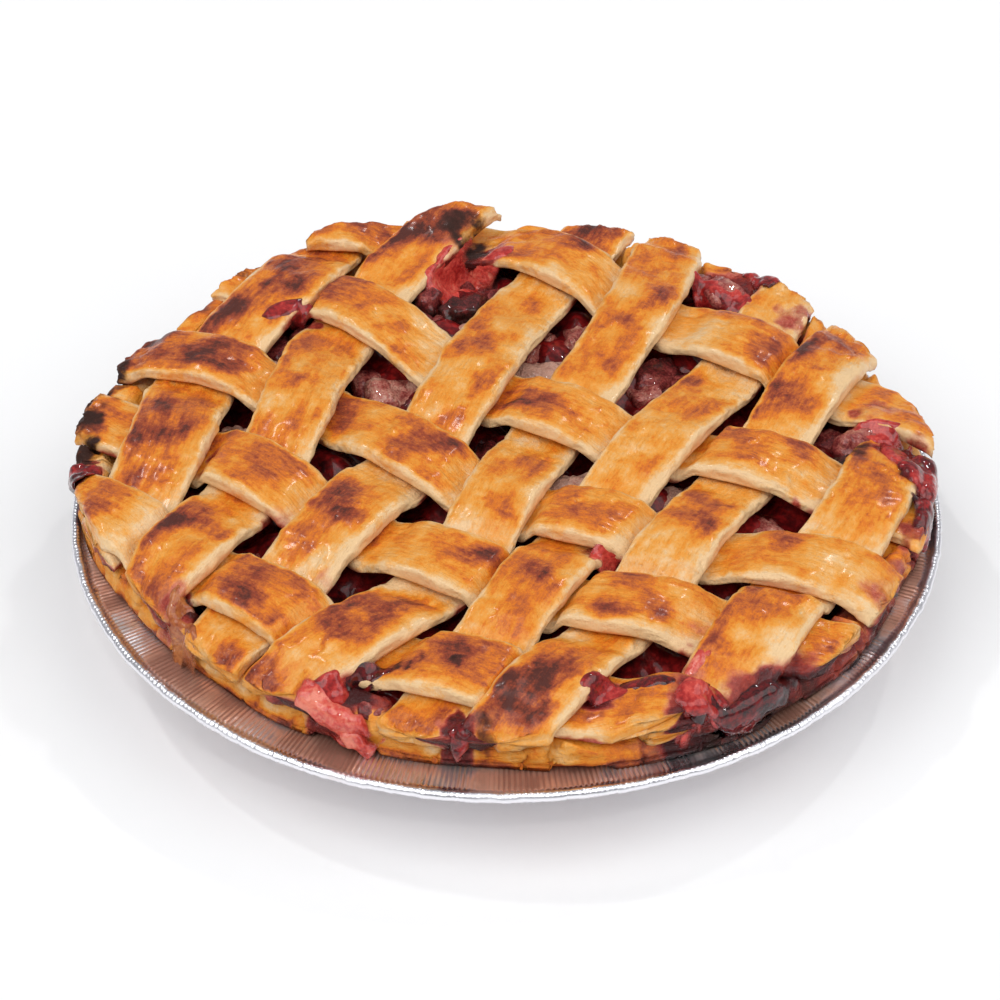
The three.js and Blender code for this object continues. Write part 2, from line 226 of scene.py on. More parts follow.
STRIPS_A = [
    dict(start=(-50, 108), end=(-104, -34), waves=(-2, -1, 3.5), width=23),
    dict(start=(-16, 103), end=(-92, -63), waves=(-1.5, -5.5, -1), width=21, curl=6, cut=5),
    dict(start=(28, 108), end=(-67.5, -71), waves=(5, -2.5, -0.5), width=21),
    dict(start=(49, 99), end=(-60, -92), waves=(17.5, -4, 3), width=20),
    dict(start=(80.5, 76), end=(-18.5, -98), waves=(3, 1, 1), width=19),
    dict(start=(96, 51), end=(-2.5, -106), waves=(4.5, -1, 0.5), width=19),
    dict(start=(97.5, -11), end=(46.5, -93.5), waves=(1, 0.5, 1), width=20),
]
STRIPS_B = [
    dict(start=(-40, 103.5), end=(97.5, 20.5), waves=(10.5, 6, 2), width=22),
    dict(start=(-77.5, 82), end=(104, -25), waves=(-11, 3, 4), width=21),
    dict(start=(-106.5, 45), end=(92.5, -54.5), waves=(-8.5, 6, 3), width=20),
    dict(start=(-108.5, 16.5), end=(86, -74.5), waves=(-18, 3, 1.5), width=20),
    dict(start=(-109, -20), end=(52, -100), waves=(-17, 1, 1), width=19, blunt=True),
]
print("strips:", len(STRIPS_A) + len(STRIPS_B))


# %% Define the pie's levels
def case_reach(angle):
    turn = np.asarray(angle) / (2 * math.pi) * len(CASE_REACH)
    whole = np.floor(turn).astype(int)
    f = turn - whole
    a, b, c, d = (CASE_REACH[(whole + k) % len(CASE_REACH)] for k in (-1, 0, 1, 2))
    return b + 0.5 * f * (c - a + f * (2 * a - 5 * b + 4 * c - d + f * (3 * (b - c) + d - a)))


def crimped_edge(angle):
    return case_reach(angle) + 0.4 * np.sin(9 * angle + 1) + 0.25 * np.sin(17 * angle)


def tin_wall(z):
    return mix(TIN_FLOOR_RADIUS, TIN_WALL_TOP_RADIUS, z / TIN_DEPTH)


def inside_edge(x, y):
    return case_reach(np.arctan2(y, x)) - np.hypot(x, y)


def weave_level(x, y):
    r = np.hypot(x, y)
    dome = WEAVE_RISE * (1 - np.clip(r / WEAVE_REACH, 0, 1.1) ** 3)
    shoulder = np.clip((SHOULDER - inside_edge(x, y)) / SHOULDER, 0, 1.2) ** 2.2
    drop = SHOULDER_DROP - SHOULDER_TILT * y / np.maximum(r, 1e-6)
    return TIN_DEPTH + WEAVE_EDGE + dome + WEAVE_TILT * y / WEAVE_REACH - drop * shoulder


def strip_floor(x, y):
    return weave_level(x, y) - GAP / 2 - UNDER_THICKNESS


def chunk_bumps(x, y):
    rate = math.pi / CHUNK_SIZE
    return 0.5 + 0.5 * np.sin(rate * (x + 5 * np.sin(y / 11))) * np.sin(rate * (y + 6 * np.sin(x / 9)))


print("weave level in the middle:", round(float(weave_level(0.0, 0.0)), 1), "mm")

# %% [markdown]
# ## The strips' plan
# Each strip of dough runs straight, with three waves that bend it sideways, because soft
# dough is never laid dead straight. A class keeps a strip's numbers together with the
# questions that later steps ask: where its middle is, how wide it is, where it ends, and
# how far a point is from it.

# %% Make and read plan maps
MAP_PITCH = 0.8
MAP_HALF = 124
MAP_SIDE = int(2 * MAP_HALF / MAP_PITCH)


def read_map(heights, x, y):
    """A value between the cells of a square map of the plan."""
    fx, fy = (x + MAP_HALF) / MAP_PITCH - 0.5, (y + MAP_HALF) / MAP_PITCH - 0.5
    ix, iy = (np.clip(np.floor(v).astype(int), 0, MAP_SIDE - 2) for v in (fx, fy))
    sx, sy = fx - ix, fy - iy
    near = mix(heights[ix, iy], heights[ix + 1, iy], sx)
    return mix(near, mix(heights[ix, iy + 1], heights[ix + 1, iy + 1], sx), sy)


map_line = (np.arange(MAP_SIDE) + 0.5) * MAP_PITCH - MAP_HALF
map_x, map_y = np.meshgrid(map_line, map_line, indexing="ij")
print("map cells:", MAP_SIDE**2)

# %% Describe a strip
PLAN_STEPS, PLAN_OVERRUN = 70, 0.15
END_SLANT, BLUNT_LINE = 0.4, 0.5


class Strip:
    def __init__(self, name, start, end, waves, width, curl=0, cut=0, blunt=False):
        self.name, self.start, self.waves, self.width = name, np.array(start), waves, width
        self.curl, self.cut, self.blunt = curl, cut, blunt
        span = np.array(end) - self.start
        self.length = math.hypot(*span)
        self.along = span / self.length
        self.plan = self.middle(np.linspace(-PLAN_OVERRUN, 1 + PLAN_OVERRUN, PLAN_STEPS + 1))
        self.plan_half = self.half_width(*self.plan)
        self.field = self.measure_outside(map_x, map_y)

    def middle(self, t):
        bend = sum(size * np.sin((k + 1) * math.pi * t) for k, size in enumerate(self.waves))
        x = self.start[0] + self.along[0] * self.length * t - self.along[1] * bend
        y = self.start[1] + self.along[1] * self.length * t + self.along[0] * bend
        return x, y

    def across(self, t):
        slope = sum(
            size * (k + 1) * math.pi * np.cos((k + 1) * math.pi * t) for k, size in enumerate(self.waves)
        ) / self.length
        tilt = np.hypot(1, slope)
        return (-self.along[1] - self.along[0] * slope) / tilt, (self.along[0] - self.along[1] * slope) / tilt

    def half_width(self, x, y):
        return self.width / 2 * (1 - PINCH * smooth((PINCH_ZONE - inside_edge(x, y)) / PINCH_ZONE))

    def place(self, t, u):
        x, y = self.middle(t)
        ax, ay = self.across(t)
        half = self.half_width(x, y) * u
        return x + ax * half, y + ay * half

    def measure_outside(self, x, y):
        least = np.full(np.shape(x), np.inf)
        px, py = self.plan
        for k in range(PLAN_STEPS):
            dx, dy = px[k + 1] - px[k], py[k + 1] - py[k]
            s = np.clip(((x - px[k]) * dx + (y - py[k]) * dy) / (dx * dx + dy * dy), 0, 1)
            far = np.hypot(x - px[k] - s * dx, y - py[k] - s * dy) - mix(self.plan_half[k], self.plan_half[k + 1], s)
            np.minimum(least, far, out=least)
        return least

    def outside(self, x, y):
        """How far points are outside the strip's edge. It is negative on the strip."""
        return read_map(self.field, x, y)

    def ends(self, u, direction):
        """Where the lines at u across the strip leave the case, with the longer side cut short."""
        t = 0.5 + direction * np.arange(0, 0.5 + PLAN_OVERRUN, 0.5 / self.length)
        cut = self.cut if direction < 0 else 0
        inside = inside_edge(*self.place(t[:, None], np.append(u, (-BLUNT_LINE, 0, BLUNT_LINE))[None, :])) > cut
        inside[-1] = False
        found = t[np.argmin(inside, axis=0)]
        own, (left, centre, right) = found[:-3], found[-3:]
        most = END_SLANT * self.width / self.length
        if direction < 0:
            return np.maximum(own, centre - most)
        return np.minimum(own, (min(left, right) if self.blunt else centre) + most)


a_strips = [Strip(f"lattice_a{k + 1}", **numbers) for k, numbers in enumerate(STRIPS_A)]
b_strips = [Strip(f"lattice_b{k + 1}", **numbers) for k, numbers in enumerate(STRIPS_B)]
for i, strip in enumerate(a_strips):
    strip.crossed, strip.over = b_strips, np.array([(i + j) % 2 == 1 for j in range(len(b_strips))])
for j, strip in enumerate(b_strips):
    strip.crossed, strip.over = a_strips, np.array([(i + j) % 2 == 0 for i in range(len(a_strips))])
print("longest strip:", round(max(strip.length for strip in a_strips + b_strips)), "mm")


# %% Ride over and under
EDGE_SAG, EDGE_SAG_ZONE = 0.5, 4.0
DIVE_INSET = 0.6


def ride(strip, x, y):
    """The height of a strip's underside and its thickness, over or under what it crosses."""
    gaps = np.array([other.outside(x, y) for other in strip.crossed])
    order = np.argsort(gaps, axis=0)[:2]
    near = np.take_along_axis(gaps, order, axis=0)
    over = strip.over[order]
    half = np.array([other.width / 2 for other in strip.crossed])[order]
    low = np.where(over, GAP / 2, -GAP / 2 - UNDER_THICKNESS)
    crown = OVER_PUFF * smooth(-near / half) - EDGE_SAG * smooth(1 + near / EDGE_SAG_ZONE)
    thick = np.where(over, OVER_THICKNESS + crown, UNDER_THICKNESS)
    first, second = np.maximum(near + DIVE_INSET, 0)
    share = np.where(first == 0, 0, smooth(first / np.maximum(first + second, 1e-9)))
    laid = smooth(first / 10) * smooth((END_ZONE - inside_edge(x, y)) / END_FADE)
    low = mix(mix(low[0], low[1], share), -GAP / 2 - UNDER_THICKNESS, laid)
    thick = mix(mix(thick[0], thick[1], share), END_THICKNESS, laid)
    return weave_level(x, y) + low, thick


print("underside and thickness in the middle:", *(v.round(1) for v in ride(a_strips[3], np.zeros(1), np.zeros(1))))

# %% [markdown]
# ## Baked dough as a shader group
# Baked dough goes from cream through gold and orange-brown to black, so its colour can be
# read from one number, the bake. The group turns the stored bake, stain and char of a
# vertex into a colour, and adds fine mottling, streaks along the strip and freckles that
# the mesh is too coarse for. The case and the strips both use it with their own values.

# %% Make the dough group
DOUGH_TONES = [
    (0.00, (0.90, 0.61, 0.32)),
    (0.14, (0.90, 0.50, 0.18)),
    (0.30, (0.89, 0.39, 0.070)),
    (0.45, (0.86, 0.30, 0.026)),
    (0.57, (0.77, 0.195, 0.014)),
    (0.69, (0.56, 0.132, 0.026)),
    (0.82, (0.34, 0.058, 0.022)),
    (1.00, (0.10, 0.022, 0.014)),
]


def new_group(name, inputs, outputs):
    group = bpy.data.node_groups.new(name, "ShaderNodeTree")
    for socket, kind, value in inputs:
        made = group.interface.new_socket(socket, in_out="INPUT", socket_type=kind)
        made.default_value = value
    for socket, kind in outputs:
        group.interface.new_socket(socket, in_out="OUTPUT", socket_type=kind)
    return group, group.nodes.new("NodeGroupInput"), group.nodes.new("NodeGroupOutput")


def math_node(tree, operation, a, b=0.0, clamp=False):
    made = add_node(tree, "ShaderNodeMath", {0: a, 1: b}, operation=operation, use_clamp=clamp)
    return made.outputs[0]


def noise_node(tree, vector, scale, detail=3.0, roughness=0.55):
    made = add_node(tree, "ShaderNodeTexNoise", {
        "Vector": vector, "Scale": scale, "Detail": detail, "Roughness": roughness})
    return made.outputs["Fac"]


def range_node(tree, value, low, high, to_low=0.0, to_high=1.0):
    made = add_node(tree, "ShaderNodeMapRange", {
        "Value": value, "From Min": low, "From Max": high, "To Min": to_low, "To Max": to_high},
        interpolation_type="SMOOTHSTEP")
    return made.outputs[0]


def ramp_node(tree, value, tones):
    made = add_node(tree, "ShaderNodeValToRGB", {"Fac": value})
    elements = made.color_ramp.elements
    while len(elements) < len(tones):
        elements.new(1.0)
    for element, (place, tone) in zip(elements, tones):
        element.position = place
        element.color = (*tone, 1)
    return made.outputs["Color"]


def mix_color(tree, share, a, b, blend="MIX"):
    made = add_node(tree, "ShaderNodeMix", data_type="RGBA", blend_type=blend)
    for place, value in ((0, share), (6, a), (7, b)):
        if isinstance(value, bpy.types.NodeSocket):
            tree.links.new(value, made.inputs[place])
        else:
            made.inputs[place].default_value = value if place == 0 else (*value, 1)
    return made.outputs[2]


def make_dough_group():
    group, given, result = new_group("baked_dough", [
        ("Bake", "NodeSocketFloat", 0.4), ("Juice", "NodeSocketFloat", 0.0), ("Char", "NodeSocketFloat", 0.0),
        ("Lay", "NodeSocketVector", (0, 0, 0)), ("Streaks", "NodeSocketFloat", 0.1),
    ], [("Color", "NodeSocketColor"), ("Roughness", "NodeSocketFloat"), ("Coat", "NodeSocketFloat"), ("Height", "NodeSocketFloat")])
    place = add_node(group, "ShaderNodeTexCoord").outputs["Object"]
    coarse = noise_node(group, place, 130.0, 5.0, 0.6)
    fine = noise_node(group, place, 650.0, 4.0, 0.65)
    stretched = add_node(group, "ShaderNodeMapping", {"Vector": given.outputs["Lay"], "Scale": (0.95, 0.17, 0.5)})
    streak = noise_node(group, stretched.outputs[0], 1.0, 5.0, 0.62)
    grain = noise_node(group, place, 1900.0, 3.0, 0.7)
    freckle = range_node(group, noise_node(group, place, 420.0, 2.0), 0.62, 0.72)
    patch = noise_node(group, place, 75.0, 6.0, 0.62)
    bake = math_node(group, "ADD", given.outputs["Bake"], range_node(group, coarse, 0.36, 0.64, -0.09, 0.09))
    bake = math_node(group, "ADD", bake, range_node(group, patch, 0.38, 0.62, -0.10, 0.11))
    bake = math_node(group, "ADD", bake, range_node(group, fine, 0.36, 0.64, -0.045, 0.045))
    bake = math_node(group, "ADD", bake, range_node(group, grain, 0.36, 0.64, -0.035, 0.035))
    lift = math_node(group, "MULTIPLY", math_node(group, "SUBTRACT", streak, 0.5), given.outputs["Streaks"])
    bake = math_node(group, "ADD", bake, lift)
    bake = math_node(group, "ADD", bake, math_node(group, "MULTIPLY", freckle, 0.05))
    dough = ramp_node(group, bake, DOUGH_TONES)
    wet = math_node(group, "ADD", given.outputs["Juice"], range_node(group, coarse, 0.3, 0.7, -0.14, 0.14))
    wet = range_node(group, wet, 0.22, 0.62)
    syrup = ramp_node(group, math_node(group, "ADD", given.outputs["Juice"], range_node(group, fine, 0.3, 0.7, -0.1, 0.1)), [
        (0.0, (0.80, 0.34, 0.20)), (0.3, (0.66, 0.18, 0.12)), (0.55, (0.42, 0.06, 0.038)),
        (0.8, (0.17, 0.014, 0.012)), (1.0, (0.05, 0.006, 0.006))])
    stained = mix_color(group, wet, dough, syrup)
    soot = math_node(group, "ADD", given.outputs["Char"], range_node(group, coarse, 0.35, 0.65, -0.32, 0.32))
    soot = range_node(group, soot, 0.25, 1.1)
    color = mix_color(group, soot, stained, (0.040, 0.014, 0.009))
    coat = math_node(group, "SUBTRACT", 1.0, math_node(group, "MULTIPLY", soot, 0.75))
    rough_value = math_node(group, "ADD", range_node(group, fine, 0.3, 0.7, 0.36, 0.56), math_node(group, "MULTIPLY", wet, -0.24))
    height = math_node(group, "ADD", math_node(group, "MULTIPLY", coarse, 0.5), math_node(group, "MULTIPLY", fine, 0.28))
    height = math_node(group, "ADD", height, math_node(group, "MULTIPLY", streak, 0.55))
    height = math_node(group, "ADD", height, math_node(group, "MULTIPLY", grain, 0.12))
    rough_value = math_node(group, "ADD", rough_value, math_node(group, "MULTIPLY", soot, 0.2))
    group.links.new(color, result.inputs["Color"])
    group.links.new(coat, result.inputs["Coat"])
    group.links.new(rough_value, result.inputs["Roughness"])
    group.links.new(height, result.inputs["Height"])
    return group


dough_group = make_dough_group()
print("dough group:", len(dough_group.nodes), "nodes")


# %% Make the dough materials
def new_material(name):
    material = bpy.data.materials.new(name)
    material.use_nodes = True
    tree = material.node_tree
    return material, tree, tree.nodes["Principled BSDF"]


def read_value(tree, name, output="Fac"):
    return add_node(tree, "ShaderNodeAttribute", attribute_name=name).outputs[output]


def dough_material(name, streaks, coat, coat_roughness, bump):
    material, tree, shader = new_material(name)
    dough = add_node(tree, "ShaderNodeGroup", node_tree=dough_group)
    for socket, value in (("Bake", "bake"), ("Juice", "juice"), ("Char", "char")):
        tree.links.new(read_value(tree, value), dough.inputs[socket])
    tree.links.new(read_value(tree, "lay", "Vector"), dough.inputs["Lay"])
    dough.inputs["Streaks"].default_value = streaks
    bumped = add_node(tree, "ShaderNodeBump", {
        "Height": dough.outputs["Height"], "Distance": bump * MM, "Strength": 1.0})
    tree.links.new(dough.outputs["Color"], shader.inputs["Base Color"])
    tree.links.new(dough.outputs["Roughness"], shader.inputs["Roughness"])
    tree.links.new(bumped.outputs[0], shader.inputs["Normal"])
    tree.links.new(math_node(tree, "MULTIPLY", dough.outputs["Coat"], coat), shader.inputs["Coat Weight"])
    shader.inputs["Coat Roughness"].default_value = coat_roughness
    shader.inputs["Specular IOR Level"].default_value = 0.2
    return material


strip_material = dough_material("glazed_pastry", 0.42, 0.34, 0.17, 1.5)
case_material = dough_material("baked_crust", 0.10, 0.16, 0.3, 2.0)
print("dough materials ready")

# %% [markdown]
# ## Where it browned, burned and boiled over
# Every oven leaves its own marks. These are painted as round spots on the plan of
# the pie: x, y and radius in millimetres, and a strength. Browned spots only darken the
# crust, charred ones turn it black, and juice soaks it red and makes it shine.

# %% List the spots
BROWNED = [
    (-82, 23, 16, 0.16), (3, -97, 8, 0.36), (-18, -82, 10, -0.16), (-87, 68, 14, 0.18),
    (-102, 37, 12, 0.2), (-102, 8, 14, 0.15), (-22, 94, 15, 0.12), (-33, 88, 8, -0.1), (98, -40, 10, 0.14),
    (-60, -82, 9, 0.2), (30, -70, 12, 0.10), (25, 98, 12, 0.26), (-45, 98, 14, 0.3), (30, 49, 14, -0.10),
    (38, -10, 14, -0.14), (58, 43, 13, -0.28), (86, 27, 12, -0.18), (63, -11, 14, -0.05), (6, -64, 13, 0.06),
    (-14, 30, 13, -0.07), (0, -18, 13, -0.06), (-30, 1, 13, -0.03), (-20, -47, 13, -0.3), (-44, -77, 15, 0.10),
    (-20, -100, 9, 0.2), (28, -104, 10, 0.04), (62, -72, 11, -0.26), (70, -50, 12, -0.08), (-98, -29, 12, -0.08),
    (-86, 5, 10, 0.02), (-53, 12, 12, 0.02), (-60, 76, 12, 0.18), (-95, 55, 12, 0.16), (-76, -40, 12, 0.04),
    (-61, -61, 10, 0.02), (-66, -17, 8, 0.10), (100, -30, 8, 0.1), (-90, -52, 12, 0.06), (-84, 37, 12, -0.05),
]
CHARRED = [
    (-11, 96, 6, 0.9), (-90, 70, 7, 0.6), (-108, 42, 6, 0.7), (-109, 35, 6, 0.6), (-112, 27, 6, 0.7),
    (-113, 19, 6, 0.6), (-113, 11, 7, 0.8), (-27, -85, 0.9, 0.4), (-24, -85.6, 1.0, 0.4),
    (-21, -86.2, 1.1, 0.5), (-18, -86.8, 1.1, 0.5), (-15, -87.4, 1.0, 0.4), (-12, -88, 0.9, 0.4),
    (60, -58, 4, 0.6), (-68, -82, 3, 0.6), (52, -102, 8, 0.5), (-111, 2, 6, 0.8),
    (62, -96, 6, 0.4), (90, -3, 6, 0.8), (-6, -104, 4, 0.6), (26, 108, 6, 0.25), (-75, 88, 7, 0.6),
]
JUICY = [
    (-13, 84, 10, 0.9), (-2, 91, 6, 0.7), (22, -93, 5, 0.9), (42, -97, 7, 0.9), (-41, -95, 8, 0.8),
    (72, -27, 5, 0.55), (-58, -32, 5, 0.5), (23, -44, 5, 0.5), (-74, -7, 6, 0.6), (104, -5, 9, 0.9),
    (108, -15, 7, 0.9), (-110, -7, 6, 0.9), (103, -31, 5, 0.6), (-10, -103, 5, 0.9), (58, -93, 9, 0.7),
    (70, -84, 9, 0.6), (43, -83, 5, 0.5), (-79, -62, 6, 0.6), (-83, -71, 5, 0.5), (63, 78, 9, 0.8),
    (-58, 56, 6, 0.6), (92, -55, 8, 0.45), (80, 62, 6, 0.5), (98, 14, 7, 0.6),
    (-82, 0, 5, 0.6), (-66, 62, 6, 0.6), (8, 88, 5, 0.4), (45, -70, 5, 0.35), (-46, -56, 5, 0.35),
]


def spots(x, y, marks, seed):
    ragged = 2.2 * bumps(x, y, 0.0, 4.0, seed) + 1.2 * bumps(x, y, 0.0, 1.8, seed + 1)
    total = np.zeros(np.shape(x))
    for cx, cy, radius, amount in marks:
        far = np.hypot(x - cx, y - cy) + ragged
        total = total + amount * smooth((radius * 1.35 - far) / (radius * 0.8))
    return total


print("spots:", len(BROWNED) + len(CHARRED) + len(JUICY))

# %% [markdown]
# ## The lattice strips
# A strip is a ribbon of rolled dough, cut with a wheel: its top is crowned by the oven, its
# edges are cut and flaky, and its ends are pressed onto the case. It could be a curve with
# a bevel, but its section changes where it dives under its neighbours. So a closed tube is
# cut into fine rings first, its ends are inset, and then each vertex is placed by the
# strip's own functions. Bumps, blisters, streaks and torn layers follow along the normals.

# %% Shape the section
RING_PITCH = 0.6
COLUMN_PITCH = 0.62
UNDERSIDE_PITCH = 1.7
END_INSETS = 5


def strip_section(width, thickness, squareness=3.8):
    """Points round the section: how far across, and how high as a share of the thickness."""
    angle = np.linspace(0, 2 * math.pi, 2001)[:-1]
    c, s = np.cos(angle), np.sin(angle)
    power = np.where(s > 0, 2 / squareness, 2 / 6)
    u = np.sign(c) * np.abs(c) ** power
    v = np.sign(s) * np.abs(s) ** power
    across, high = u * width / 2, (v + 1) * thickness / 2
    step = np.hypot(np.diff(across, append=across[0]), np.diff(high, append=high[0]))
    pitch = np.where(s > -0.35, COLUMN_PITCH, UNDERSIDE_PITCH)
    walked = np.concatenate([[0], np.cumsum(step / pitch)])
    count = int(round(walked[-1]))
    places = np.arange(count) / count * walked[-1]
    pick = np.searchsorted(walked, places, side="left").clip(0, len(u) - 1)
    return u[pick], (v[pick] + 1) / 2


section_u, section_share = strip_section(20, 5)
print("points round a strip:", len(section_u))


# %% Make the tube and its ends
def ringed_tube(columns, rings):
    """A closed tube with inset ends. It returns each vertex's ring, column and inset radius."""
    bm = bmesh.new()
    bmesh.ops.create_cone(bm, cap_ends=True, segments=columns, radius1=1, radius2=1, depth=2)
    upright = [edge for edge in bm.edges if abs(edge.verts[0].co.z - edge.verts[1].co.z) > 1]
    caps = [face for face in bm.faces if len(face.verts) == columns]
    for cap in caps:
        for _ in range(END_INSETS):
            bmesh.ops.inset_individual(bm, faces=[cap], thickness=0.9 / END_INSETS)
    bmesh.ops.subdivide_edges(bm, edges=upright, cuts=rings - 1)
    places = places_of(bm)
    ring = np.round((places[:, 2] + 1) / 2 * rings).astype(int)
    turn = np.arctan2(places[:, 1], places[:, 0]) / (2 * math.pi)
    offset = np.arctan2(*reversed(places[np.argmax(np.hypot(places[:, 0], places[:, 1])), :2])) / (2 * math.pi)
    column = np.round((turn - offset) * columns).astype(int) % columns
    return bm, ring, column, np.hypot(places[:, 0], places[:, 1])


def surface_normals(grid):
    along = np.gradient(grid, axis=0)
    around = (np.roll(grid, -1, axis=1) - np.roll(grid, 1, axis=1)) / 2
    normals = np.cross(around, along)
    normals /= np.maximum(np.linalg.norm(normals, axis=2, keepdims=True), 1e-9)
    outwards = np.sum(normals * (grid - grid.mean(axis=1, keepdims=True)), axis=2).mean()
    return normals if outwards > 0 else -normals


print("tube ready")


# %% Place the surface of a strip
END_ROUNDING = 2.4


def strip_surface(strip, seed):
    start, end = strip.ends(section_u, -1), strip.ends(section_u, 1)
    rings = int(round(strip.length * np.mean(end - start) / RING_PITCH))
    s = np.linspace(0, 1, rings + 1)[:, None]
    t = start + (end - start) * s
    u = np.broadcast_to(section_u, t.shape)
    x, y = strip.place(t, u)
    t = t + 1.1 * bumps(u * 10, s * 3, 0.0, 2.2, seed) * smooth(1 - np.minimum(s, 1 - s) * strip.length / 6) / strip.length
    edge_wave = 0.05 * bumps(t * strip.length, np.sign(u) * 40, 0.0, 9.0, seed + 3)
    x, y = strip.place(t, u * (1 + edge_wave))
    low, thick = ride(strip, x, y)
    from_end = np.minimum(t - start, end - t) * strip.length
    round_off = np.sqrt(1 - (1 - np.clip(from_end / END_ROUNDING, 0, 1)) ** 2)
    share = section_share * (0.8 + 0.2 * round_off)
    x0, y0 = strip.middle(start.mean())
    curl = strip.curl * smooth((CURL_ZONE - np.hypot(x - x0, y - y0)) / CURL_ZONE)
    grid = np.stack([x, y, low + share * thick + curl], axis=2)
    lay = np.stack([u * strip.width / 2, t * strip.length, np.full_like(u, seed * 7.0)], axis=2)
    ax, ay = strip.across(t)
    facing = np.clip((0.35 * ax - 0.95 * ay) * np.sign(u), 0, 1)
    return grid, lay, from_end, facing


def strip_relief(grid, normals, lay, from_end, along, seed):
    x, y, z = grid[..., 0], grid[..., 1], grid[..., 2]
    top = smooth((normals[..., 2] - 0.15) / 0.5)
    side = smooth((0.55 - np.abs(normals[..., 2])) / 0.4)
    dive = smooth((np.abs(normals[..., 0] * along[0] + normals[..., 1] * along[1]) - 0.25) / 0.4)
    swell = 0.60 * bumps(x, y, z, 10.0, seed) + 0.36 * bumps(x, y, z, 4.6, seed + 1) + 0.14 * bumps(x, y, z, 2.1, seed + 2)
    folds = 0.20 * bumps(lay[..., 0], lay[..., 1] / 4, lay[..., 2], 2.0, seed + 3)
    wrinkles = 0.38 * dive * bumps(lay[..., 0] / 5, lay[..., 1], lay[..., 2], 1.7, seed + 10)
    blister = 0.9 * smooth((bumps(x, y, z, 4.2, seed + 4) - 0.45) / 0.5) * smooth(bumps(x, y, z, 16.0, seed + 5) * 2)
    pits = -0.5 * smooth((bumps(x, y, z, 3.0, seed + 14) - 0.62) / 0.3)
    layers = 0.36 * bumps(x / 5, y / 5, z, 0.8, seed + 6) + 0.32 * bumps(x, y, z, 2.4, seed + 7)
    torn = smooth(1 - from_end / 6) * (
        0.5 * bumps(x, y, z * 2, 2.8, seed + 8) + 0.7 * bumps(x, y, z, 6.0, seed + 15) + 0.35 * bumps(x, y, z, 1.5, seed + 21))
    return top * (swell + folds + wrinkles + blister + pits) + side * (layers + 0.6 * swell) + torn


print("surface ready")

# %% [markdown]
# ## Browning a strip
# Heat from above browns what stands up, so the crest of each crossing is darkest, and the
# cut sides stay pale. Egg wash runs along the strip, which leaves streaks. Low parts next
# to the fruit soak up pink juice.

# %% Bake the strips
def strip_bake(grid, normals, lay, from_end, facing, seed):
    x, y, z = grid[..., 0], grid[..., 1], grid[..., 2]
    level = weave_level(x, y)
    raised = np.clip((z - level) / 5.0, -1, 1.3)
    cut_side = smooth((0.93 - section_share + 0.05 * bumps(x, y, z, 2.5, seed + 16)) / 0.10)
    steep = smooth((0.80 - normals[..., 2]) / 0.5)
    front_lit = smooth((0.35 * normals[..., 0] - 0.95 * normals[..., 1] - 0.05) / 0.5)
    hollow = smooth((0.45 - raised) / 0.8)
    patches = 0.20 * bumps(x, y, 0.0, 16.0, seed + 11) + 0.17 * bumps(x, y, 0.0, 7.0, seed + 12)
    streaks = 0.13 * bumps(lay[..., 0], lay[..., 1] / 5, lay[..., 2], 2.6, seed + 13)
    streaks = streaks + 0.07 * bumps(lay[..., 0], lay[..., 1] / 6, lay[..., 2], 1.2, seed + 17)
    bake = 0.47 + 0.13 * raised + patches + streaks * smooth(0.6 + 0.8 * bumps(x, y, 0.0, 20.0, seed + 18))
    bake = bake + spots(x, y, BROWNED, 5)
    # Faces turned to the front are painted paler, as painted light from the front, beside the paler steep faces and
    # hollows.
    shelter_and_front_light = 1 - 0.6 * smooth(1 - from_end / 8)
    bake = bake - shelter_and_front_light * (0.14 * front_lit + 0.10 * steep + 0.13 * hollow)
    pale_margin = smooth((np.abs(section_u) - 0.42 + 0.18 * bumps(x, y, 0.0, 8.0, seed + 19)) / 0.5)
    bake = bake - 0.34 * facing * pale_margin
    crumb = 0.05 + 0.12 * bumps(x, y, z * 1.5, 2.6, seed + 20) + 0.14 * smooth(1 - from_end / 6)
    bake = mix(bake, crumb + 0.40 * (bake - 0.4), 0.88 * cut_side)
    char = spots(x, y, CHARRED, 7)
    bake = bake + 0.35 * char
    near_fruit = smooth((level + 0.2 - z) / 3.0)
    juice = 0.62 * near_fruit * (0.55 + 0.9 * bumps(x, y, 0.0, 7.0, 21))
    juice = juice + spots(x, y, JUICY, 6) * mix(1, 0.35, smooth((raised - 0.2) / 0.6) * smooth(from_end / 14))
    return bake, juice, char


def lattice_strip(strip, seed):
    grid, lay, from_end, facing = strip_surface(strip, seed)
    normals = surface_normals(grid)
    grid = grid + normals * strip_relief(grid, normals, lay, from_end, strip.along, seed)[..., None]
    normals = surface_normals(grid)
    values = strip_bake(grid, normals, lay, from_end, facing, seed)
    bm, ring, column, radius = ringed_tube(grid.shape[1], grid.shape[0] - 1)
    inner = grid.mean(axis=1)[ring]
    places = mix(inner, grid[ring, column], np.minimum(radius, 1)[:, None])
    on_end = radius < 0.99
    way = np.where(ring == 0, -1.0, 1.0)[:, None] * np.append(strip.along, 0)
    flakes = 0.9 * (1 - radius**2) + 0.5 * bumps(places[:, 0] / 4, places[:, 1] / 4, places[:, 2], 0.9, seed + 9)
    places = places + way * (flakes * on_end)[:, None]
    move_to(bm, places * MM)
    bake, juice, char = (value[ring, column] for value in values)
    bake = np.where(on_end, mix(0.34, bake, radius**3), bake)
    return finish_piece(strip.name + "_baked", bm, strip_material, {
        "bake": bake, "juice": juice, "char": char, "lay": lay[ring, column],
    }, strip.name)


strip_pieces = [lattice_strip(strip, 100 + 31 * k) for k, strip in enumerate(a_strips + b_strips)]

# %% [markdown]
# ## Turned pieces
# The tin, the case and the pool of filling are round. A spin would turn a profile about the
# upright axis, but with the two thousand steps that fine pleats need, it takes minutes. A
# cylinder that is cut into rings gives the same faces at once: each ring then takes the
# radius and height of one point of the profile.

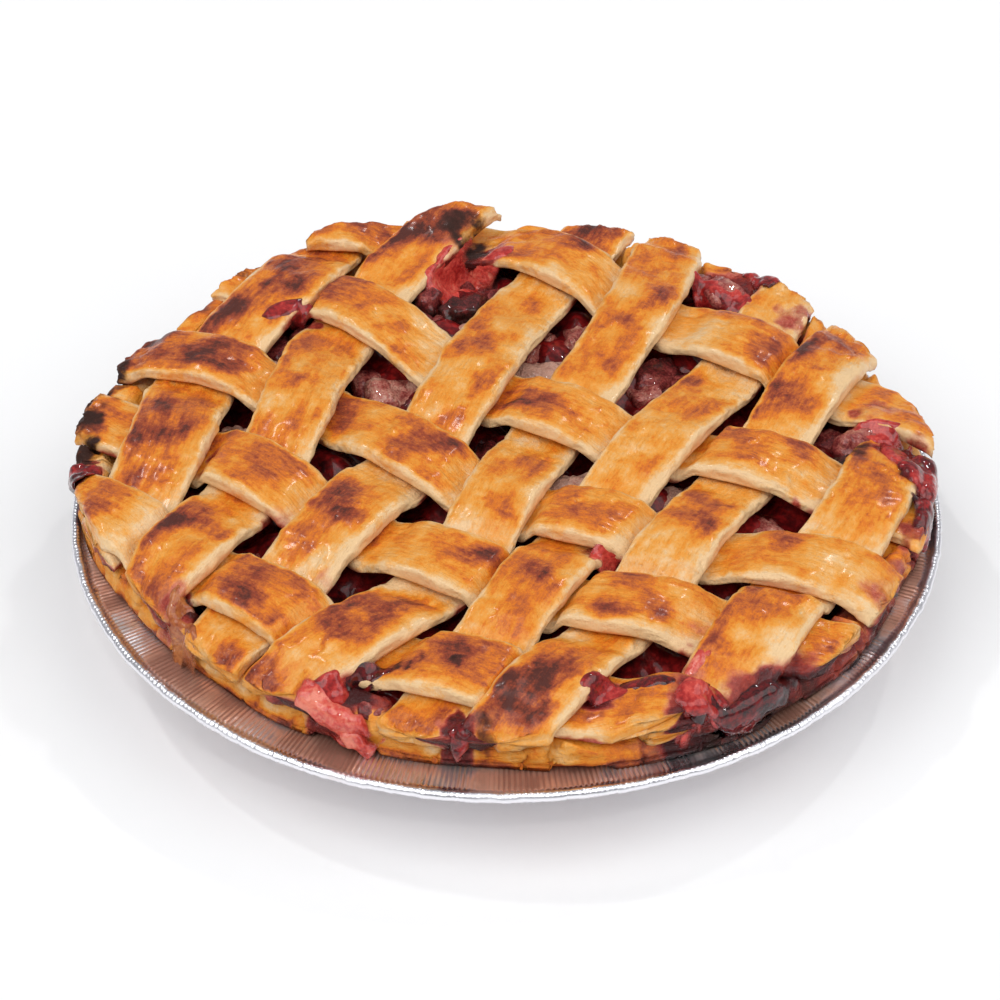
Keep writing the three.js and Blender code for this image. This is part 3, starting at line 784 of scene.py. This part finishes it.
# %% Turn a profile
def turned(profile, steps):
    """A closed turned piece. It returns each vertex's angle, radius and height."""
    bm = bmesh.new()
    bmesh.ops.create_cone(bm, cap_ends=True, cap_tris=True, segments=steps, radius1=1, radius2=1, depth=2)
    upright = [edge for edge in bm.edges if abs(edge.verts[0].co.z - edge.verts[1].co.z) > 1]
    bmesh.ops.subdivide_edges(bm, edges=upright, cuts=len(profile) - 2)
    places = places_of(bm)
    point = np.round((places[:, 2] + 1) / 2 * (len(profile) - 1)).astype(int)
    radius, height = np.array(profile)[point].T
    off_axis = np.hypot(places[:, 0], places[:, 1]) > 0.5
    return bm, np.arctan2(places[:, 1], places[:, 0]), radius * off_axis, height


def in_between(points, pitch):
    """A profile with extra points, so that no step is longer than the pitch."""
    fine = [points[0]]
    for a, b in zip(points, points[1:]):
        count = max(1, round(math.dist(a, b) / pitch))
        fine += [tuple(mix(np.array(a), np.array(b), k / count)) for k in range(1, count + 1)]
    return fine


print("turning ready")

# %% [markdown]
# ## The foil tin
# A foil pan is pressed from one thin sheet, and the extra foil gathers in many small
# pleats round its wall and flange. The rim is rolled into a bead for stiffness. Pleats of
# under 2 mm need thousands of steps round the tin, so they are real folds in the mesh.

# %% Make the foil
# Clean foil is silver. The browns are baked-on juice and a painted reflection of the crust.
FOIL_TONES = [(0.0, (0.92, 0.91, 0.95)), (0.6, (0.78, 0.45, 0.33)), (1.0, (0.36, 0.17, 0.12))]


def foil_material():
    material, tree, shader = new_material("pressed_foil")
    place = add_node(tree, "ShaderNodeTexCoord").outputs["Object"]
    grain = noise_node(tree, place, 900.0, 3.0)
    cloud = noise_node(tree, place, 60.0, 3.0)
    # The juice value carries baked-on juice and a painted reflection of the crust. It browns the foil and makes it less
    # metallic.
    stain = math_node(tree, "ADD", read_value(tree, "juice"), range_node(tree, cloud, 0.3, 0.7, -0.2, 0.2))
    stain = range_node(tree, stain, 0.3, 0.8)
    bumped = add_node(tree, "ShaderNodeBump", {"Height": grain, "Distance": 0.00012, "Strength": 0.6})
    tree.links.new(ramp_node(tree, stain, FOIL_TONES), shader.inputs["Base Color"])
    shine = math_node(tree, "ADD", range_node(tree, cloud, 0.3, 0.7, 0.26, 0.40), math_node(tree, "MULTIPLY", stain, 0.08))
    tree.links.new(shine, shader.inputs["Roughness"])
    tree.links.new(math_node(tree, "SUBTRACT", 1.0, math_node(tree, "MULTIPLY", stain, 0.55)), shader.inputs["Metallic"])
    tree.links.new(bumped.outputs[0], shader.inputs["Normal"])
    return material


foil = foil_material()
print("foil ready")


# %% Turn the tin
TIN_STEPS = 2880
PLEATS = 540
WALL_PLEATS = 130
FLANGE_SPOTS = [(-46, -99, 12, 0.7), (10, -106, 14, 0.35), (60, -92, 14, 0.4)]


def tin_profile():
    bead = BEAD / 2
    beads = TIN_RADIUS - bead
    circle = [(beads + bead * math.cos(a), TIN_DEPTH + bead * math.sin(a)) for a in np.linspace(-0.8, 0.8, 9) * math.pi]
    outer = in_between([(30, 0), (TIN_FLOOR_RADIUS - 1.5, 0)], 40) + [(TIN_FLOOR_RADIUS - 0.3, 0.35)]
    outer += in_between([(TIN_FLOOR_RADIUS + 0.4, 1.2), (TIN_WALL_TOP_RADIUS, TIN_DEPTH - FOIL)], 5)
    outer += in_between([(TIN_WALL_TOP_RADIUS + 0.6, TIN_DEPTH - FOIL), (beads - bead, TIN_DEPTH - FOIL)], 5)
    inner = in_between([(beads - bead, TIN_DEPTH), (TIN_WALL_TOP_RADIUS + 0.4, TIN_DEPTH)], 1.6)
    inner += in_between([(TIN_WALL_TOP_RADIUS, TIN_DEPTH - 0.4), (tin_wall(FOIL) - 0.75, FOIL)], 14)
    return outer + circle + inner + [(30, FOIL)]


def foil_tin():
    bm, angle, r, z = turned(tin_profile(), TIN_STEPS)
    turn_x, turn_y = 108 * np.cos(angle), 108 * np.sin(angle)
    shift = 2.6 * bumps(turn_x, turn_y, 0, 6.0, 41)
    strength = 0.6 + 0.6 * bumps(turn_x, turn_y, 0, 2.6, 42)
    pleat = np.sin(PLEATS * angle + shift) * strength
    flange = smooth((r - 101.2) / 1.5) * smooth((z - 20) / 3)
    bead = smooth((r - 111.6) / 0.8)
    z = z + flange * mix(0.24, 0.10, bead) * pleat + flange * 0.35 * bumps(turn_x, turn_y, 0, 26.0, 43)
    wall = smooth((z - 1.0) / 5) * (1 - flange)
    folds = np.abs(np.sin(WALL_PLEATS / 2 * angle + 0.6 * shift)) ** 1.5
    r = r - wall * (0.7 * folds * strength + 0.12 * pleat)
    r = r + bead * (0.16 * bumps(turn_x, turn_y, z, 1.5, 44) + 0.14 * bumps(turn_x, turn_y, z, 4.0, 47))
    z = z + bead * 0.16 * bumps(turn_x, turn_y, r, 1.7, 48)
    x, y = r * np.cos(angle), r * np.sin(angle)
    move_to(bm, np.stack([x, y, z], axis=1) * MM)
    # The flange next to the crust is painted warm brown, as baked-on juice and a painted reflection of the crust, and
    # it is darker in the pleat troughs.
    near_crust = smooth((111.6 + 0.5 * bumps(turn_x, turn_y, 0, 12.0, 45) - r) / 1.2) * smooth((z - 22) / 1.5)
    painted_reflection_and_stain = 0.66 + 0.2 * bumps(turn_x, turn_y, 0, 14.0, 49) + 0.30 * smooth((-pleat - 0.1) / 0.8) - 0.19
    juice = painted_reflection_and_stain * near_crust + 0.5 * spots(x, y, FLANGE_SPOTS, 46)
    return finish_piece("foil_tin_pleated", bm, foil, {"juice": juice * smooth((z - 22) / 1.5)}, "foil_tin")


tin_piece = foil_tin()

# %% [markdown]
# ## The pastry case
# The case is the bowl of dough under the fruit. Only its rim shows: a rough band between
# the foil and the ends of the strips. Dough that was folded and pinched there bakes in
# layers, cracks, and darkens where juice ran over it. It is turned, and then its rim is
# moved out to the uneven edge and roughened.

# %% Turn the case
CASE_STEPS = 1080
CASE_FILL = 3.2
RIM_MARK = 500
TOP_MARK = 500
TIN_INSET = 0.75 + GAP
CASE_INSET = TIN_INSET + CASE_THICKNESS


def case_profile():
    floor, rim = FOIL + GAP, TIN_DEPTH + GAP
    floor_top, half_way = floor + CASE_THICKNESS, TIN_DEPTH / 2
    lower = [(40, floor), (tin_wall(floor) - TIN_INSET, floor),
             (tin_wall(half_way) - TIN_INSET, half_way), (tin_wall(rim - 1) - TIN_INSET, rim - 1)]
    under = in_between([(TIN_WALL_TOP_RADIUS + 0.2, rim + CASE_LIFT / 2), (RIM_MARK - 1.2, rim + CASE_LIFT)][:1], 1)
    under += in_between([(RIM_MARK - 5, rim + CASE_LIFT), (RIM_MARK - 0.7, rim + CASE_LIFT)], 1.0)
    face = [(RIM_MARK - 0.2, rim + CASE_LIFT + 0.8)]
    face += [(RIM_MARK - 0.1 * k, TOP_MARK - 5.6 + 0.62 * k) for k in range(8)]
    top = in_between([(RIM_MARK - 1.8, TOP_MARK - 0.3), (RIM_MARK - CASE_RIM_WIDTH + 1.5, TOP_MARK)], 0.9)
    inner = [(RIM_MARK - CASE_RIM_WIDTH, TOP_MARK - 1.5), (tin_wall(half_way) - CASE_INSET, half_way),
             (tin_wall(floor_top) - CASE_INSET, floor_top), (40, floor_top)]
    return lower + under + face + top + inner


def pastry_case():
    bm, angle, r, z = turned(case_profile(), CASE_STEPS)
    on_rim = r > RIM_MARK / 2
    radius = np.where(on_rim, crimped_edge(angle) - (RIM_MARK - r), r)
    x, y = radius * np.cos(angle), radius * np.sin(angle)
    lift = np.where(on_rim, BEAD_LIFT * smooth((radius - 107.5) / 3), 0)
    bare = np.min([strip.outside(x, y) for strip in a_strips + b_strips], axis=0)
    fill = CASE_FILL * smooth((bare + 0.2) / 2.0) * (1 + 0.5 * bumps(x, y, 0, 6.0, 59))
    z = np.where(z > TOP_MARK / 2, strip_floor(x, y) - GAP - (TOP_MARK - z) + fill, z + lift)
    outer = on_rim * smooth((radius - crimped_edge(angle) + 7) / 4) * smooth((z - 25.6) / 1.5)
    cracks = np.abs(bumps(x, y, z * 1.5, 7.0, 60))
    push = 0.9 * bumps(x, y, z, 9.0, 61) + 0.5 * bumps(x, y, z, 3.4, 62) + 0.45 * bumps(x / 6, y / 6, z, 1.1, 63)
    push = push - 1.3 * smooth(1 - cracks / 0.12)
    radius = radius + outer * push
    z = z + outer * 0.35 * bumps(x, y, z, 5.0, 64)
    x, y = radius * np.cos(angle), radius * np.sin(angle)
    move_to(bm, np.stack([x, y, z], axis=1) * MM)
    # The cracks are painted darker, as painted shade in them.
    bake = 0.30 + 0.18 * bumps(x, y, z, 12.0, 65) + 0.16 * bumps(x, y, z, 3.5, 66) + 0.16 * smooth(1 - cracks / 0.2)
    # The foot of the band, where it meets the foil, is painted darker as painted shade.
    bake = bake + 0.30 * smooth((27.5 - z) / 1.6)
    right_front = smooth((x * 0.6 - y * 0.8 - 78) / 22) * smooth((x - 20) / 25)
    juice = spots(x, y, JUICY, 6) + right_front * (0.40 + 0.55 * bumps(x, y, z, 6.0, 67))
    juice = juice + 0.7 * smooth((102 - radius) / 5)
    char = spots(x, y, CHARRED, 7) + 0.45 * right_front * smooth(bumps(x, y, z, 8.0, 68) * 2 + 0.4)
    bake = bake + 0.25 * right_front + 0.4 * char
    lay = np.stack([z, angle * 108, np.zeros_like(z)], axis=1)
    return finish_piece("pastry_case_baked", bm, case_material, {
        "bake": bake, "juice": juice, "char": char, "lay": lay}, "pastry_case")


case_piece = pastry_case()

# %% [markdown]
# ## The filling
# Under the lattice lies rhubarb and strawberry in their own thickened juice. Mostly dark
# hollows show, with wet pieces of fruit in them. The pool of juice is a turned piece with
# the low bumps of the solid. The fruit pieces are cubes that are cut finely and rounded:
# short sticks of rhubarb with fibres along them, and softer lumps of strawberry.

# %% Make the wet materials
def wet_material(name, tones, noise_scale, bump, roughness, coat=1.0, coat_roughness=0.05, thin_edges=False):
    material, tree, shader = new_material(name)
    place = add_node(tree, "ShaderNodeTexCoord").outputs["Object"]
    cloud = noise_node(tree, place, noise_scale, 4.0)
    fine = noise_node(tree, place, noise_scale * 5, 3.0)
    tone = math_node(tree, "ADD", read_value(tree, "tone"), range_node(tree, cloud, 0.3, 0.7, -0.13, 0.13))
    tone = math_node(tree, "ADD", tone, range_node(tree, fine, 0.3, 0.7, -0.12, 0.12))
    height = math_node(tree, "ADD", cloud, math_node(tree, "MULTIPLY", fine, 0.3))
    bumped = add_node(tree, "ShaderNodeBump", {"Height": height, "Distance": bump * MM, "Strength": 1.0})
    tree.links.new(ramp_node(tree, tone, tones), shader.inputs["Base Color"])
    tree.links.new(range_node(tree, fine, 0.3, 0.7, roughness, roughness + 0.15), shader.inputs["Roughness"])
    tree.links.new(bumped.outputs[0], shader.inputs["Normal"])
    if thin_edges:
        tree.links.new(range_node(tree, read_value(tree, "body"), 0.15, 0.75, 0.0, 0.96), shader.inputs["Alpha"])
    shader.inputs["Coat Weight"].default_value = coat
    shader.inputs["Coat Roughness"].default_value = coat_roughness
    shader.inputs["Specular IOR Level"].default_value = 0.1
    return material


FRUIT_TONES = [
    (0.0, (0.70, 0.40, 0.30)), (0.2, (0.55, 0.21, 0.16)), (0.40, (0.38, 0.085, 0.07)),
    (0.58, (0.21, 0.026, 0.026)), (0.78, (0.085, 0.014, 0.013)), (1.0, (0.028, 0.009, 0.007)),
]
SYRUP_TONES = [
    (0.0, (0.84, 0.23, 0.15)), (0.25, (0.68, 0.075, 0.055)), (0.5, (0.42, 0.020, 0.018)),
    (0.75, (0.15, 0.006, 0.007)), (1.0, (0.025, 0.002, 0.003)),
]
CARAMEL_TONES = [(0.0, (0.62, 0.24, 0.07)), (0.45, (0.40, 0.10, 0.03)), (1.0, (0.09, 0.014, 0.008))]
fruit_material = wet_material("cooked_fruit", FRUIT_TONES, 300.0, 2.2, 0.35, 0.7, 0.06)
syrup_material = wet_material("set_juice", SYRUP_TONES, 110.0, 0.8, 0.30, 0.5, 0.06)
film_material = wet_material("thin_juice", SYRUP_TONES, 170.0, 1.7, 0.30, 1.0, 0.03, thin_edges=True)
caramel_material = wet_material("caramel_juice", CARAMEL_TONES, 170.0, 1.7, 0.30, 1.0, 0.03, thin_edges=True)
print("wet materials ready")


# %% Turn the pool of juice
POOL_STEPS = 480
POOL_RINGS = 90
EDGE_GAP, EDGE_DEPTH = 3, 2.5


def filling_top(x, y):
    return strip_floor(x, y) - FILLING_CLEARANCE - FILLING_DEPTH * (1 - chunk_bumps(x, y))


def juice_pool():
    floor = FOIL + 2 * GAP + CASE_THICKNESS
    half_way, inset = TIN_DEPTH / 2, CASE_INSET + GAP
    profile = [(40, floor), (tin_wall(floor) - inset, floor), (tin_wall(half_way) - inset, half_way)]
    profile += [(RIM_MARK * k / POOL_RINGS, TOP_MARK) for k in range(POOL_RINGS, 0, -1)]
    bm, angle, r, z = turned(profile, POOL_STEPS)
    surface = z > TOP_MARK / 2
    radius = np.where(surface, r / RIM_MARK * (crimped_edge(angle) - CASE_RIM_WIDTH - EDGE_GAP), r)
    x, y = radius * np.cos(angle), radius * np.sin(angle)
    lumps = 0.8 * bumps(x, y, 0, 6.0, 71) + 0.5 * bumps(x, y, 0, 2.8, 72)
    depth = np.where(r > RIM_MARK * 0.99, EDGE_DEPTH, strip_floor(x, y) - FILLING_CLEARANCE - filling_top(x, y) - lumps)
    z = np.where(surface, strip_floor(x, y) - FILLING_CLEARANCE - depth, z)
    move_to(bm, np.stack([x, y, z], axis=1) * MM)
    tone = 0.86 - 0.12 * chunk_bumps(x, y) + 0.1 * bumps(x, y, 0, 7.0, 73)
    return finish_piece("juice_pool", bm, syrup_material, {"tone": tone}, "filling")


pool_piece = juice_pool()


# %% Find the openings
def find_openings(pitch=1.5, spacing=8.5, least=1.6):
    line = np.arange(-100, 100.1, pitch)
    x, y = (v.ravel() for v in np.meshgrid(line, line))
    clear = np.min([strip.outside(x, y) for strip in a_strips + b_strips], axis=0)
    clear = np.where(inside_edge(x, y) < 11, -1, clear)
    found = []
    for k in np.argsort(-clear):
        if clear[k] < least:
            break
        if all(math.hypot(x[k] - a, y[k] - b) > spacing for a, b, _ in found):
            found.append((float(x[k]), float(y[k]), float(clear[k])))
    return found


openings = find_openings()
print("openings:", len(openings))

# %% Shape the fruit pieces
FRUIT_CUTS = 11
# x, y, height above the filling, half sizes along, across and up, turn in degrees, tilt, tone, squareness
PLACED_FRUIT = [
    (-30, 33, -0.4, 8.5, 6.5, 5, 25, 8, 0.28, 2.6), (-38, 38, -1.2, 7, 5, 4, 100, -10, 0.55, 2.8),
    (41, 40, 0.2, 9, 5.5, 4.5, 35, 6, 0.72, 3), (36, 33, -1.0, 8, 4.5, 4, 120, 8, 0.5, 4),
    (96, 5.5, 6.2, 9, 5.5, 5.0, 10, 4, 0.46, 2.3), (92, -4, 5.0, 8, 4.5, 4.2, -20, -6, 0.98, 2.6),
    (-12, 72, 2.2, 8.5, 5.5, 5, 30, 8, 0.88, 2.8), (-22, 76, 2.4, 6, 4, 4, 70, 8, 0.74, 2.6),
    (63, 78, 4.4, 7, 5.5, 4.5, -30, 5, 0.52, 2.3), (55, 83, 4, 5, 4.5, 4, 30, 5, 0.62, 2.3),
    (-2, -77, 2.4, 5, 3.8, 3.4, 25, 5, 0.42, 2.4), (8, 55, -0.8, 9, 4.5, 4.5, 60, 5, 0.45, 4),
    (-56, 57, 2.2, 6, 5, 4.5, 40, 5, 0.55, 2.4), (102, -5, 3, 6, 5, 4, 60, 5, 0.8, 2.4),
    (-41, -89, 2.6, 5, 4, 3.6, 20, 5, 0.55, 2.3), (-31, -93, 3.4, 4.5, 3.4, 3.2, -10, 5, 0.66, 2.5),
]


def fruit_piece(bm, tone_layer, place, half_sizes, turn, tilt, tone, squareness, seed):
    count = len(bm.verts)
    cube = bmesh.ops.create_cube(bm, size=2)["verts"]
    edges = list({edge for vert in cube for edge in vert.link_edges})
    bmesh.ops.subdivide_edges(bm, edges=edges, cuts=FRUIT_CUTS, use_grid_fill=True)
    bm.verts.ensure_lookup_table()
    verts = bm.verts[count:]
    p = np.array([vert.co[:] for vert in verts])
    p = p / (np.abs(p) ** squareness).sum(axis=1, keepdims=True) ** (1 / squareness)
    size = np.array(half_sizes)
    q = p * size
    swell = 1.5 * bumps(*q.T, 5.5, seed) + 1.0 * bumps(*q.T, 2.6, seed + 1) + 0.45 * bumps(*q.T, 1.3, seed + 3)
    fibres = 0.7 * bumps(q[:, 0] / 8, q[:, 1], q[:, 2], 1.3, seed + 2) * (squareness > 3)
    q = q + p * (swell + fibres)[:, None]
    matrix = Matrix.Translation(Vector(place)) @ Matrix.Rotation(math.radians(turn), 4, "Z")
    matrix = matrix @ Matrix.Rotation(math.radians(tilt), 4, "Y")
    stains = bumps(q[:, 0] / 2, q[:, 1], q[:, 2], 2.4, seed + 4)
    for vert, local, stain in zip(verts, q, stains):
        vert.co = (matrix @ Vector(local)) * MM
        # Each piece is painted darker towards its underside, as painted shade. The stains are its own.
        vert[tone_layer] = tone + 0.22 * (0.4 - local[2] / half_sizes[2]) + 0.16 * stain


def fruit_heap():
    bm = bmesh.new()
    tone_layer = bm.verts.layers.float.new("tone")
    seeded = np.random.default_rng(8)
    heap = list(PLACED_FRUIT)
    for x, y, clear in openings:
        stick = seeded.random() < 0.6
        sizes = (seeded.uniform(7.5, 11), seeded.uniform(4.5, 6.5), seeded.uniform(3.6, 4.6)) if stick else tuple(
            seeded.uniform(5.0, 7.0, 3))
        offset = seeded.uniform(-3.2, 3.2, 2)
        tone = seeded.choice((0.12, 0.4, 0.62, 0.8)) if stick else seeded.uniform(0.45, 0.9)
        heap.append((x + offset[0], y + offset[1], seeded.uniform(-3.0, -0.6), *sizes,
                     seeded.uniform(0, 180), seeded.uniform(-14, 14), tone, 3.4 if stick else 2.4))
    for k, (x, y, up, a, b, c, turn, tilt, tone, squareness) in enumerate(heap):
        z = float(strip_floor(x, y)) - 1.2 - c + up
        fruit_piece(bm, tone_layer, (x, y, z), (a, b, c), turn, tilt, tone, squareness, 300 + 5 * k)
    print("pieces of fruit:", len(heap))
    return finish_piece("fruit_pieces", bm, fruit_material, {}, "filling")


fruit_object = fruit_heap()

# %% [markdown]
# ## Juice that boiled over
# Thickened juice wells up between the strips, sets to a shiny skin and runs over the rim.
# It follows whatever is below it. A height map of the pieces made so far, smoothed as a
# thick liquid smooths a step, gives each film its shape: a fine grid is laid on the map,
# raised in its middle and sunk at its border, and then given a thickness.

# %% Map the heights
def height_map(pieces):
    heights = np.full((MAP_SIDE, MAP_SIDE), 0.0)
    for piece in pieces:
        co = np.empty(len(piece.data.vertices) * 3, dtype=np.float32)
        piece.data.vertices.foreach_get("co", co)
        co = co.reshape(-1, 3) / MM
        ix = np.clip(((co[:, 0] + MAP_HALF) / MAP_PITCH).astype(int), 0, MAP_SIDE - 1)
        iy = np.clip(((co[:, 1] + MAP_HALF) / MAP_PITCH).astype(int), 0, MAP_SIDE - 1)
        np.maximum.at(heights, (ix, iy), co[:, 2])
    return heights


def blurred(heights, steps):
    for _ in range(steps):
        around = [np.roll(heights, shift, axis) for axis in (0, 1) for shift in (-1, 1)]
        heights = 0.4 * heights + 0.15 * sum(around)
    return heights


heights = height_map(strip_pieces + [tin_piece, case_piece, pool_piece, fruit_object])
soft_heights = blurred(np.maximum(heights, blurred(heights, 2)), 3)
settled_heights = blurred(np.maximum(soft_heights, blurred(soft_heights, 24)), 4)
print("highest point:", round(float(heights.max()), 1), "mm")

# %% Lay the films of juice
# x, y, half length, half width, turn in degrees, thickness, tone
FILMS = [
    ("swirl", -41.5, -91, 6.0, 3.8, -10, 1.8, 0.52), ("brown_pocket", -32, -87, 7, 3, 15, 0.5, 0.95),
    ("glaze_back", -16, 82, 11, 7, 62, 0.9, 0.36), ("glaze_back_right", -3, 89, 7, 3.6, 20, 0.8, 0.32),
    ("jam_front", 45, -94, 8, 5.0, 35, 0.5, 0.46), ("jam_front_left", 22.5, -93, 7, 3.6, 10, 0.5, 0.66),
    ("jam_ridge", 33, -91, 8, 2.4, -8, 0.5, 0.78), ("berry_right", 97, 7, 8, 4.2, -22, 0.7, 0.40), ("pink_seam", 44, -82, 6, 2.8, 60, 0.6, 0.25),
    ("pink_lip", 72, -27, 5.0, 2.8, -20, 0.6, 0.12), ("caramel_left", -79, -64, 9, 3.6, 107, 1.0, 0.45),
    ("jam_back_right", 62, 75, 10, 5, -30, 1.4, 0.58), ("pink_middle", 24, -46, 4, 3, 30, 0.5, 0.28),
    ("jam_back_left", -62, 59, 8, 4, 30, 0.7, 0.70), ("jam_right_inner", 101, -6, 8, 4, 105, 1.4, 0.62),
]
THICK_FILM = 1.3
FILM_PITCH = 0.45
FILM_LIMIT = 110.5


def juice_film(name, cx, cy, long_half, short_half, turn, thickness, tone, seed):
    bm = bmesh.new()
    counts = [max(8, int(2.6 * half / FILM_PITCH)) for half in (long_half, short_half)]
    bmesh.ops.create_grid(bm, x_segments=counts[0], y_segments=counts[1], size=1)
    p = places_of(bm)[:, :2]
    p = p * np.sqrt(1 - 0.5 * p[:, ::-1] ** 2)
    cos, sin = math.cos(math.radians(turn)), math.sin(math.radians(turn))
    px, py = p[:, 0] * long_half * 1.25, p[:, 1] * short_half * 1.25
    x, y = cx + cos * px - sin * py, cy + sin * px + cos * py
    within = np.minimum(1, FILM_LIMIT / np.hypot(x, y))
    x, y = x * within, y * within
    below = read_map(settled_heights if thickness > THICK_FILM else soft_heights, x, y)
    far = np.hypot(p[:, 0], p[:, 1])
    ragged = far * (1 + 0.30 * bumps(x, y, below, 5.0, seed) + 0.16 * bumps(x, y, below, 2.2, seed + 1))
    body = smooth((0.95 - ragged) / 0.5)
    ripple = 0.35 * bumps(x, y, below, 3.2, seed + 2) + 0.12 * bumps(x, y, below, 1.3, seed + 4)
    rise = thickness * (body * (1 + ripple) - 0.9 * (1 - body))
    z = below + rise - 0.2
    move_to(bm, np.stack([x, y, z], axis=1) * MM)
    lower = bmesh.ops.extrude_face_region(bm, geom=bm.faces[:], use_keep_orig=True)["geom"]
    bmesh.ops.translate(
        bm, verts=[part for part in lower if isinstance(part, bmesh.types.BMVert)], vec=(0, 0, -0.5 * MM))
    places = places_of(bm) / MM
    tones = tone + 0.14 * bumps(places[:, 0], places[:, 1], 0, 4.0, seed + 3) + 0.10 * (0.5 - np.tile(body, 2))
    body = np.tile(body, 2)
    material = caramel_material if name.startswith("caramel") else film_material
    return finish_piece(name, bm, material, {"tone": tones, "body": body}, "filling")


film_pieces = [juice_film(*film, 500 + 7 * k) for k, film in enumerate(FILMS)]

# %% [markdown]
# Where juice ran over the edge it hangs on the upright outer side of the case. A sheet laid
# from above can't follow that side. So these runs are grids that are bent over the edge
# instead: one way along the edge, the other way across the top and then down the side.

# %% Hang the runs over the edge
# bearing in degrees, half length, reach inwards, reach down, slant, thickness, tone
RUNS = [
    ("coral_run", -113.5, 12, 3.5, 6.5, 3.2, 0.9, 0.20), ("coral_lip", -109.5, 6.5, -3, 8.5, 1.5, 1.6, 0.30),
    ("jam_seam", -96, 2.8, 2, 8, 0, 0.9, 0.74), ("jam_low_right", -58, 14, 4, 8, 0, 0.6, 0.90),
    ("jam_low_right_top", -65, 7, 6, 4, 0, 0.5, 0.56),
    ("jam_right", -6, 11, 10, 7, 0, 1.1, 0.66), ("jam_right_low", -13, 7, 4, 9, 1, 0.9, 0.76),
    ("jam_left", 184, 5, 8, 6, 0, 1.1, 0.78), ("jam_back_right_run", 48, 7, 6, 5, 0, 0.8, 0.62),
]
EDGE_ROUNDING = 1.6
RUN_CLEARANCE = 0.8


def edge_run(name, bearing, half_length, inwards, down, slant, thickness, tone, seed):
    bm = bmesh.new()
    counts = [max(8, int(2.2 * half / FILM_PITCH)) for half in (half_length, (inwards + down) / 2)]
    bmesh.ops.create_grid(bm, x_segments=counts[0], y_segments=counts[1], size=1)
    p = places_of(bm)[:, :2]
    p = p * np.sqrt(1 - 0.5 * p[:, ::-1] ** 2)
    angle = math.radians(bearing) + 1.2 * p[:, 0] * half_length / 106
    walk = mix(-inwards, down, 0.5 - 0.6 * p[:, 1]) + slant * p[:, 0]
    bend = np.hypot(walk, EDGE_ROUNDING)
    back, drop = (bend - walk) / 2, (bend + walk) / 2
    edge = crimped_edge(angle)
    radius = edge - back
    rest = np.minimum(radius, edge - 2.2)
    top = read_map(soft_heights, rest * np.cos(angle), rest * np.sin(angle))
    far = np.hypot(p[:, 0], p[:, 1])
    shake = (angle * 106, walk, 0.0)
    ragged = far * (1 + 0.34 * bumps(*shake, 4.5, seed) + 0.2 * bumps(*shake, 2.0, seed + 1))
    body = smooth((0.95 - ragged) / 0.45)
    ripple = 0.4 * bumps(*shake, 3.2, seed + 2) + 0.22 * bumps(*shake, 1.3, seed + 4)
    rise = RUN_CLEARANCE + thickness * (body * (1 + ripple) - 0.9 * (1 - body))
    share = drop / (back + drop)
    out, up = share / np.hypot(share, 1 - share), (1 - share) / np.hypot(share, 1 - share)
    sheets = []
    for depth in (0, 0.5):
        r, z = radius + out * (rise - depth), top - drop + up * (rise - depth)
        sheets.append(np.stack([r * np.cos(angle), r * np.sin(angle), z], axis=1))
    bmesh.ops.extrude_face_region(bm, geom=bm.faces[:], use_keep_orig=True)
    move_to(bm, np.concatenate(sheets) * MM)
    tones = tone + 0.20 * bumps(*shake, 4.0, seed + 3) + 0.10 * (0.5 - body)
    material = caramel_material if name.startswith("caramel") else film_material
    return finish_piece(name, bm, material, {
        "tone": np.tile(tones, 2), "body": np.tile(body, 2)}, "filling")


run_pieces = [edge_run(*run, 700 + 7 * k) for k, run in enumerate(RUNS)]

# %% [markdown]
# ## Floor
# The floor isn't part of the pie. It is a plain pale sheet that takes soft shadows, just
# under the tin.

# %% Lay the floor
def pale_floor():
    material, tree, shader = new_material("pale_floor")
    place = add_node(tree, "ShaderNodeTexCoord").outputs["Object"]
    cloud = range_node(tree, noise_node(tree, place, 3.0), 0.3, 0.7, 0.0, 1.0)
    tree.links.new(mix_color(tree, cloud, (0.93, 0.93, 0.93), (0.95, 0.95, 0.95)), shader.inputs["Base Color"])
    shader.inputs["Roughness"].default_value = 0.8
    bm = bmesh.new()
    bmesh.ops.create_grid(bm, x_segments=4, y_segments=4, size=3)
    bmesh.ops.translate(bm, verts=bm.verts, vec=(0, 0, -0.0002))
    return finish_piece("floor", bm, material)


pale_floor()
print("floor ready")
